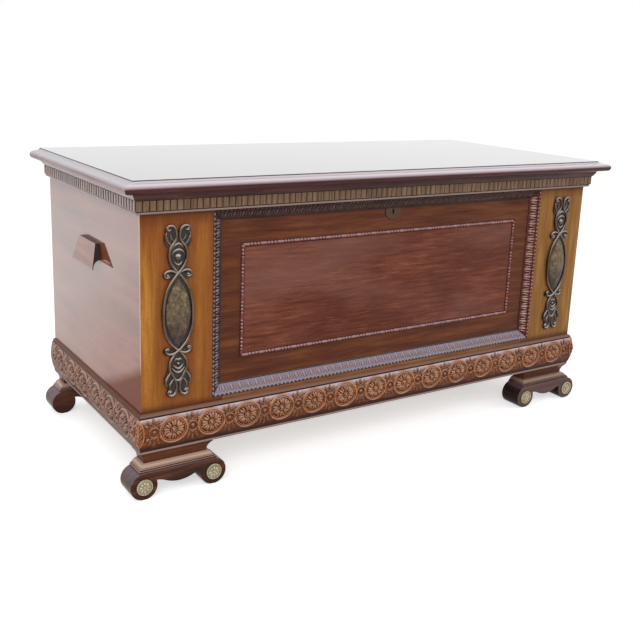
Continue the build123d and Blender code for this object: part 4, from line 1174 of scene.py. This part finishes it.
# ---------------------------------------------------------------- appliques
# Each scroll is (x, z, half width) in millimetres, from the middle of a stile and from the floor.
LONG_RIBBON = [(13.5, 485.0, 1.0), (17.5, 483.4, 1.7), (20.6, 486.0, 1.9), (18.0, 490.2, 2.1),
               (12.5, 491.4, 2.3), (6.6, 487.6, 2.3), (3.4, 480.0, 2.2), (2.8, 471.0, 2.1),
               (6.4, 463.0, 2.2), (12.4, 455.5, 2.3), (15.8, 446.5, 2.3), (16.2, 436.5, 2.2),
               (13.2, 426.0, 2.2), (7.6, 417.0, 2.2), (0.0, 408.5, 2.3), (-9.0, 398.0, 2.3),
               (-17.6, 385.0, 2.4), (-23.8, 368.0, 2.5), (-27.0, 349.0, 2.6), (-27.6, 332.0, 2.6),
               (-26.6, 315.0, 2.5), (-22.6, 298.0, 2.4), (-15.6, 284.0, 2.3), (-7.0, 274.0, 2.2),
               (1.6, 267.0, 2.2), (9.6, 263.4, 2.3), (17.0, 263.0, 2.2), (22.6, 266.4, 2.1),
               (23.6, 271.6, 1.9), (19.8, 273.6, 1.6), (17.2, 271.0, 1.0)]
SIDE_SCROLLS = [
    [(3.0, 408.0, 1.5), (9.6, 411.6, 2.1), (17.4, 412.8, 2.3), (23.8, 409.4, 2.3), (24.6, 403.8, 2.2),
     (20.2, 401.0, 1.9), (15.8, 403.2, 1.2)],
    [(13.6, 459.0, 0.8), (18.4, 463.6, 1.8), (21.6, 469.6, 2.8), (22.4, 476.4, 1.6), (21.0, 480.4, 0.6)],
    [(8.6, 465.6, 0.7), (13.0, 470.6, 1.7), (14.4, 476.6, 1.0)],
    [(2.8, 266.0, 1.4), (9.4, 257.6, 2.1), (15.4, 247.6, 2.3), (15.6, 234.0, 2.3), (9.6, 221.6, 2.2),
     (4.2, 208.6, 2.2), (3.2, 195.0, 2.3), (8.2, 186.4, 2.5), (15.4, 185.6, 2.4), (19.0, 190.4, 2.1),
     (15.8, 194.6, 1.8), (12.0, 192.2, 1.1)],
    [(13.6, 230.0, 0.8), (18.8, 222.6, 2.0), (22.8, 214.4, 2.8), (23.2, 207.4, 1.6), (20.8, 203.6, 0.6)],
    [(8.0, 217.0, 0.7), (13.2, 210.4, 1.8), (16.4, 203.0, 2.2), (14.6, 198.0, 1.0)],
]
CRESCENTS = [
    [(10.8, 450.4, 0.7), (6.2, 457.0, 2.1), (0.0, 459.8, 2.7)],
    [(12.4, 440.6, 0.7), (7.6, 446.6, 2.1), (0.0, 449.4, 2.8)],
    [(7.2, 428.6, 0.6), (4.0, 424.6, 1.6), (0.0, 423.0, 2.1)],
    [(6.8, 249.2, 0.8), (3.2, 252.6, 2.0), (0.0, 251.0, 2.2)],
    [(9.6, 242.2, 0.7), (5.2, 237.2, 2.1), (0.0, 234.6, 2.6)],
    [(12.0, 236.4, 0.7), (6.8, 230.4, 2.0), (0.0, 227.4, 2.5)],
    [(9.8, 220.4, 0.7), (5.0, 214.6, 2.0), (0.0, 212.2, 2.5)],
]
# Each ball is (x, z, radius, rise) in millimetres; those off the middle come in pairs.
BALLS = [(0, 436.4, 5.8, 5.0), (0, 243.6, 2.4, 3.4), (19.2, 485.6, 2.0, 2.6), (19.4, 404.6, 2.3, 3.0),
         (20.0, 270.4, 2.2, 2.8), (15.2, 191.0, 2.2, 2.8)]


def scroll(curve, points, lift, sign=1, weave=0.0):
    """One tapering ribbon of a curve; a weave lifts it above the middle of the eye and drops it below."""
    spline = curve.splines.new("BEZIER")
    spline.bezier_points.add(len(points) - 1)
    for knot, (x, z, half) in zip(spline.bezier_points, points):
        side = min(1.0, max(-1.0, (z * MM - CABOCHON_MIDDLE) / (50 * MM)))
        knot.co = (sign * x * MM, -lift - weave * side, z * MM)
        knot.radius = 0.86 * half * MM
        knot.handle_left_type = knot.handle_right_type = "AUTO"


def scrollwork():
    """All the ribbons, leaves and crescents of one applique, as a mesh about the middle of a stile."""
    curve = bpy.data.curves.new("scrollwork", "CURVE")
    curve.dimensions = "3D"
    curve.bevel_depth = 1.0
    curve.bevel_resolution = 2
    curve.resolution_u = 5
    curve.use_fill_caps = True
    for side in (1, -1):
        scroll(curve, LONG_RIBBON, PLATE + 1.2 * MM, side, side * 0.7 * MM)
    for points in SIDE_SCROLLS:
        for side in (1, -1):
            scroll(curve, points, PLATE + 0.6 * MM, side)
    for points in CRESCENTS:
        mirrored = [(-x, z, half) for x, z, half in reversed(points[:-1])]
        scroll(curve, points + mirrored, PLATE + 0.8 * MM)
    holder = show("scrollwork", curve)
    mesh = bpy.data.meshes.new_from_object(holder)
    bpy.data.objects.remove(holder)
    bpy.data.curves.remove(curve)
    return mesh


def applique(name, ribbons, material, plate_material):
    """Fretted plate with its scrollwork and balls."""
    low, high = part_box("applique_" + name)
    middle = (low.x + high.x) / 2
    bm = copy_of_node("applique_" + name)
    thin = place(0, FACE, 0) @ size(1, PLATE / (FACE - low.y), 1) @ place(0, -FACE, 0)
    bmesh.ops.transform(bm, matrix=thin, verts=bm.verts)
    add_piece("applique_plate_" + name, bm, plate_material, "case", ["applique_" + name])
    bm = new_mesh()
    stamp(bm, ribbons, place(middle, FACE, 0))
    for x, z, radius, rise in BALLS:
        for side in ((1, -1) if x else (1,)):
            at = place(middle + side * x * MM, PLATE_FACE, z * MM)
            blob(bm, at @ size(radius * MM, rise * MM, radius * MM), 14, 10)
    add_piece("applique_carving_" + name, bm, material, "case")


def cabochon(name, material):
    """Pointed oval dome, cut flat where it meets the plate."""
    low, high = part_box("cabochon_" + name)
    middle_x, middle_z = (low.x + high.x) / 2, (low.z + high.z) / 2
    half_high, half_wide = (high.z - low.z) / 2 - 0.3 * MM, (high.x - low.x) / 2 - 0.3 * MM
    bm = new_mesh()
    stand = place(middle_x, PLATE_FACE + 0.2 * MM, middle_z) @ turn(90, "Y") @ turn(90, "X")
    spindle(bm, half_high, half_wide, 7.4 * MM, stand, around=32, along=28)
    cut_flat(bm, (0, PLATE_FACE, 0), (0, 1, 0))
    add_piece("cabochon_dome_" + name, bm, material, "case", ["cabochon_" + name])


def appliques():
    """The two appliques, each with its cabochon."""
    ribbons = scrollwork()
    carved, plate, dome = applique_wood(), applique_plate_wood(), cabochon_wood()
    for name, _ in ENDS:
        applique(name, ribbons, carved, plate)
        cabochon(name, dome)


# ---------------------------------------------------------------- brass rosettes of the front feet
def foot_rosette_unit(radius):
    """Pressed disc with a milled rim and a small flower."""
    profile = [(0.0, 0.0), (0.0, 15.3), (1.6, radius), (2.7, 15.0), (3.1, 14.0), (2.7, 13.0), (1.7, 12.5),
               (1.5, 11.6), (1.9, 6.0), (2.2, 0.0)]
    bm = new_mesh()
    lathe(bm, [(along * MM, out * MM) for along, out in profile], place(), 48)
    for index in range(36):
        at = turn(10 * index, "Z") @ place(14.0 * MM, 0, 2.9 * MM)
        blob(bm, at @ size(1.3 * MM, 0.75 * MM, 0.9 * MM), 6, 4)
    for index in range(8):
        petal = turn(45 * index, "Z") @ place(7.3 * MM, 0, 1.8 * MM)
        blob(bm, petal @ size(3.6 * MM, 2.1 * MM, 1.7 * MM), 8, 6)
        tip = turn(45 * index + 22.5, "Z") @ place(10.2 * MM, 0, 1.6 * MM)
        blob(bm, tip @ size(1.4 * MM, 1.1 * MM, 1.1 * MM), 6, 4)
    wire_ring(bm, 0, 0, 3.0 * MM, 0.6 * MM, 2.6 * MM, around=18)
    blob(bm, place(0, 0, 2.4 * MM) @ size(2.2 * MM, 2.2 * MM, 1.5 * MM), 10, 6)
    return as_unit(bm, "foot_rosette_unit")


def foot_rosettes():
    """A disc on each volute of the two front feet."""
    radius = 15.5
    unit = foot_rosette_unit(radius)
    low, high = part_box("foot_rosettes")
    outer = high.x - radius * MM
    bm = new_mesh()
    for sign in (-1, 1):
        for x in (outer, outer - VOLUTES_APART):
            stamp(bm, unit, place(sign * x, high.y, (low.z + high.z) / 2) @ turn(90, "X"))
    add_piece("foot_rosette_discs", bm, rosette_brass(), "case", ["foot_rosettes"])


# ---------------------------------------------------------------- screws
def screw_unit():
    """Slotted countersunk head, its face on the plane, looking along z."""
    bm = new_mesh()
    head = 3.2 * MM
    profile = [(-1.6 * MM, 0.0), (-1.6 * MM, 1.6 * MM), (-0.1 * MM, head), (0.05 * MM, head - 0.2 * MM),
               (0.12 * MM, 0.0)]
    lathe(bm, profile, place(), 20)
    for side in (-1, 1):
        bmesh.ops.bisect_plane(bm, geom=bm.verts[:] + bm.edges[:] + bm.faces[:],
                               plane_co=(0, side * 0.45 * MM, 0), plane_no=(0, side, 0))
    slot_faces = [face for face in bm.faces if abs(face.calc_center_median().y) < 0.4 * MM
                  and (face.normal.z > 0.8 or face.calc_center_median().z > 0)]
    cut = bmesh.ops.extrude_face_region(bm, geom=slot_faces)
    bmesh.ops.delete(bm, geom=slot_faces, context="FACES")
    sunk = [item for item in cut["geom"] if isinstance(item, bmesh.types.BMVert)]
    bmesh.ops.translate(bm, vec=(0, 0, -0.7 * MM), verts=sunk)
    return as_unit(bm, "screw_unit")


def screws(unit, name, places, material, body):
    """One piece of all the screws in a row, each turned a little further."""
    bm = new_mesh()
    for index, at in enumerate(places):
        stamp(bm, unit, at @ turn(37 * index, "Z"))
    add_piece(name, bm, material, body)


def all_screws(brass, steel):
    """Screws of the hinges, the lock, its staple and the stays."""
    unit = screw_unit()
    under = turn(180, "X")
    on_case, on_lid = CASE_TOP - SCREW_SUNK, SKIRT + SCREW_SUNK
    middles = [sum(corner.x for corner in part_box("hinge_case_leaf_" + name)) / 2 for name, _ in ENDS]
    spots = [middle + step * HINGE_LEAF / 3 for middle in middles for step in (-1, 0, 1)]
    screws(unit, "hinge_screws_case", [place(x, HINGE_SCREWS, on_case) for x in spots], brass, "case")
    screws(unit, "hinge_screws_lid", [place(x, HINGE_SCREWS, on_lid) @ under for x in spots], brass, "lid")
    lock_y = (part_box("lock_case")[0].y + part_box("lock_case")[1].y) / 2
    screws(unit, "lock_screws", [place(side * LOCK_SCREW, lock_y, on_case) for side in (-1, 1)], steel,
           "case")
    screws(unit, "staple_screws", [place(side * STAPLE_SCREW, lock_y, on_lid) @ under for side in (-1, 1)],
           steel, "lid")
    for name, sign in ENDS:
        for body in ("case", "lid"):
            low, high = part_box(f"stay_{body}_plate_{name}")
            y, z = (low.y + high.y) / 2, (low.z + high.z) / 2
            face = sign * (INNER_SIDE - STAY_PLATE + SCREW_SUNK)
            places = [place(face, y + side * STAY_SCREW, z) @ turn(-90 * sign, "Y") for side in (-1, 1)]
            screws(unit, f"stay_screws_{body}_{name}", places, steel, body)


# ---------------------------------------------------------------- finishes of the solids that stay in sight
def case_finishes():
    """The woods of the case and the lid."""
    rail, side, edge, edge_end = rail_wood(), side_wood(), lid_edge_front_wood(), lid_edge_end_wood()
    cornice_end = cornice_end_wood()
    base_end = carved_ground_wood("carved_ground_end", "y", base_end_painted_light, 0.55)
    finishes = {
        "bottom_board": board_wood(), "back_panel": back_wood(), "top_rail": rail, "bottom_rail": rail,
        "field_panel": field_wood(), "centre_panel": mahogany(), "side_panel_left": side,
        "side_panel_right": side, "lid_panel": lid_top_wood(), "lid_rail_back": edge,
        "lid_nosing_front": edge, "lid_nosing_left": edge_end, "lid_nosing_right": edge_end,
        "cornice_front": cornice_front_wood(), "cornice_left": cornice_end, "cornice_right": cornice_end,
        "stile_left": stile_wood("stile_left_wood", ((144, 85, 30), (168, 108, 43), (188, 128, 55))),
        "stile_right": stile_wood("stile_right_wood", ((124, 82, 38), (146, 104, 52), (168, 126, 70))),
        "base_moulding_front": carved_ground_wood("carved_ground_front", "x", base_front_painted_light, 0.3),
        "base_moulding_left": base_end, "base_moulding_right": base_end,
    }
    for name in FRAME_SIDES:
        finishes["frame_moulding_" + name] = frame_wood(name)
    return finishes


def fitting_finishes(brass, steel):
    """The metals of the hinges, the lock and the stays."""
    finishes = {"hinge_pins": brass, "escutcheon": lock_brass(), "lock_case": steel, "lock_staple": steel,
                "lock_bolt": steel}
    for name, _ in ENDS:
        for part in ("case_leaf", "lid_leaf"):
            finishes[f"hinge_{part}_{name}"] = brass
        for part in ("case_plate", "lid_plate", "lower_arm", "upper_arm"):
            finishes[f"stay_{part}_{name}"] = steel
    return finishes


def finish_nodes(finishes):
    """Gives each solid its material."""
    for node, material in finishes.items():
        materials = NODES[node].data.materials
        materials.clear()
        materials.append(material)


def feet_and_handles():
    """Feet, pedestals and handles, their edges rubbed round."""
    foot, pedestal, handle = foot_wood(), pedestal_wood(), handle_wood()
    for end in ("front", "rear"):
        for name, _ in ENDS:
            eased_node(f"foot_{end}_{name}", 2.4 * MM, foot)
            eased_node(f"pedestal_{end}_{name}", 0.7 * MM, pedestal)
    for name, _ in ENDS:
        eased_node(f"handle_{name}", 0.9 * MM, handle)


# ---------------------------------------------------------------- studio
def floor():
    """Pale floor that keeps the chest's shadow and shows white to the camera and to reflections."""
    bm = new_mesh()
    bmesh.ops.create_grid(bm, x_segments=1, y_segments=1, size=14)
    mesh = bpy.data.meshes.new("studio_floor")
    bm.to_mesh(mesh)
    bm.free()
    material, tree, shader, _ = start_material("studio_floor")
    path = put(tree, "ShaderNodeLightPath", {}).outputs
    glow = scaled(tree, path["Is Glossy Ray"], 0.2, times(tree, path["Is Camera Ray"], 0.55))
    feed(tree, shader, {"Base Color": (0.86, 0.86, 0.86, 1), "Roughness": 0.9, "Specular IOR Level": 0.0,
                        "Emission Color": (1, 1, 1, 1), "Emission Strength": glow})
    mesh.materials.append(material)
    show("studio_floor", mesh)


def surroundings(level):
    """White to the camera and to reflections, soft even light to everything else."""
    world = bpy.data.worlds.new("studio")
    world.use_nodes = True
    bpy.context.scene.world = world
    tree = world.node_tree
    tree.nodes.clear()
    path = put(tree, "ShaderNodeLightPath", {}).outputs
    seen = larger(tree, path["Is Camera Ray"], path["Is Glossy Ray"])
    seen = larger(tree, seen, path["Is Transmission Ray"])
    light = put(tree, "ShaderNodeBackground", {"Color": (0.95, 0.975, 1.0, 1), "Strength": level})
    tint = blend(tree, path["Is Camera Ray"], (0.975, 0.985, 1, 1), (1, 1, 1, 1))
    white = put(tree, "ShaderNodeBackground", {"Color": tint, "Strength": 1.0})
    mix = put(tree, "ShaderNodeMixShader", {0: seen, 1: light.outputs[0], 2: white.outputs[0]})
    put(tree, "ShaderNodeOutputWorld", {"Surface": mix.outputs[0]})


def softbox(name, at, towards, width, power):
    """A square lamp that lights the chest but does not show in its polish."""
    lamp = bpy.data.lights.new(name, "AREA")
    lamp.shape = "SQUARE"
    lamp.size = width
    lamp.energy = power
    holder = show(name, lamp)
    holder.location = at
    holder.rotation_euler = (Vector(towards) - Vector(at)).to_track_quat("-Z", "Y").to_euler()
    holder.visible_glossy = False


def camera():
    """Looks down a little on the chest's left front corner."""
    lens = bpy.data.cameras.new("camera")
    lens.sensor_width = 36
    lens.lens = 50.70
    lens.shift_x = -0.0124
    lens.shift_y = -0.0614
    yaw, pitch, roll = 0.5916, 0.2434, 0.0416
    ahead = Vector((sin(yaw) * cos(pitch), cos(yaw) * cos(pitch), -sin(pitch)))
    right = Vector((cos(yaw), -sin(yaw), 0))
    up = right.cross(ahead)
    level_right = cos(roll) * right + sin(roll) * up
    level_up = -sin(roll) * right + cos(roll) * up
    holder = show("camera", lens)
    matrix = Matrix((level_right, level_up, -ahead)).transposed().to_4x4()
    matrix.translation = Vector((-1.0987, FACE - 1.3996, 0.7802))
    holder.matrix_world = matrix
    bpy.context.scene.camera = holder


def studio():
    """Floor, surroundings, three lamps and the camera."""
    bpy.context.scene.view_settings.view_transform = "Standard"
    surroundings(0.55)
    floor()
    softbox("key_light", (-2.4, -3.2, 2.6), (0, 0, 0.3), 2.6, 85)
    softbox("fill_light", (3.0, -2.6, 1.8), (0, 0, 0.3), 2.4, 32)
    softbox("back_light", (-1.0, 3.0, 2.8), (0, 0, 0.3), 2.4, 30)
    camera()


# ---------------------------------------------------------------- the chest
def build():
    brass, steel = hinge_brass(), dark_steel()
    finish_nodes({**case_finishes(), **fitting_finishes(brass, steel)})
    feet_and_handles()
    base_carving()
    frame_carving()
    bead_strip()
    bead_and_reel()
    reeds()
    appliques()
    foot_rosettes()
    all_screws(brass, steel)


build()
studio()
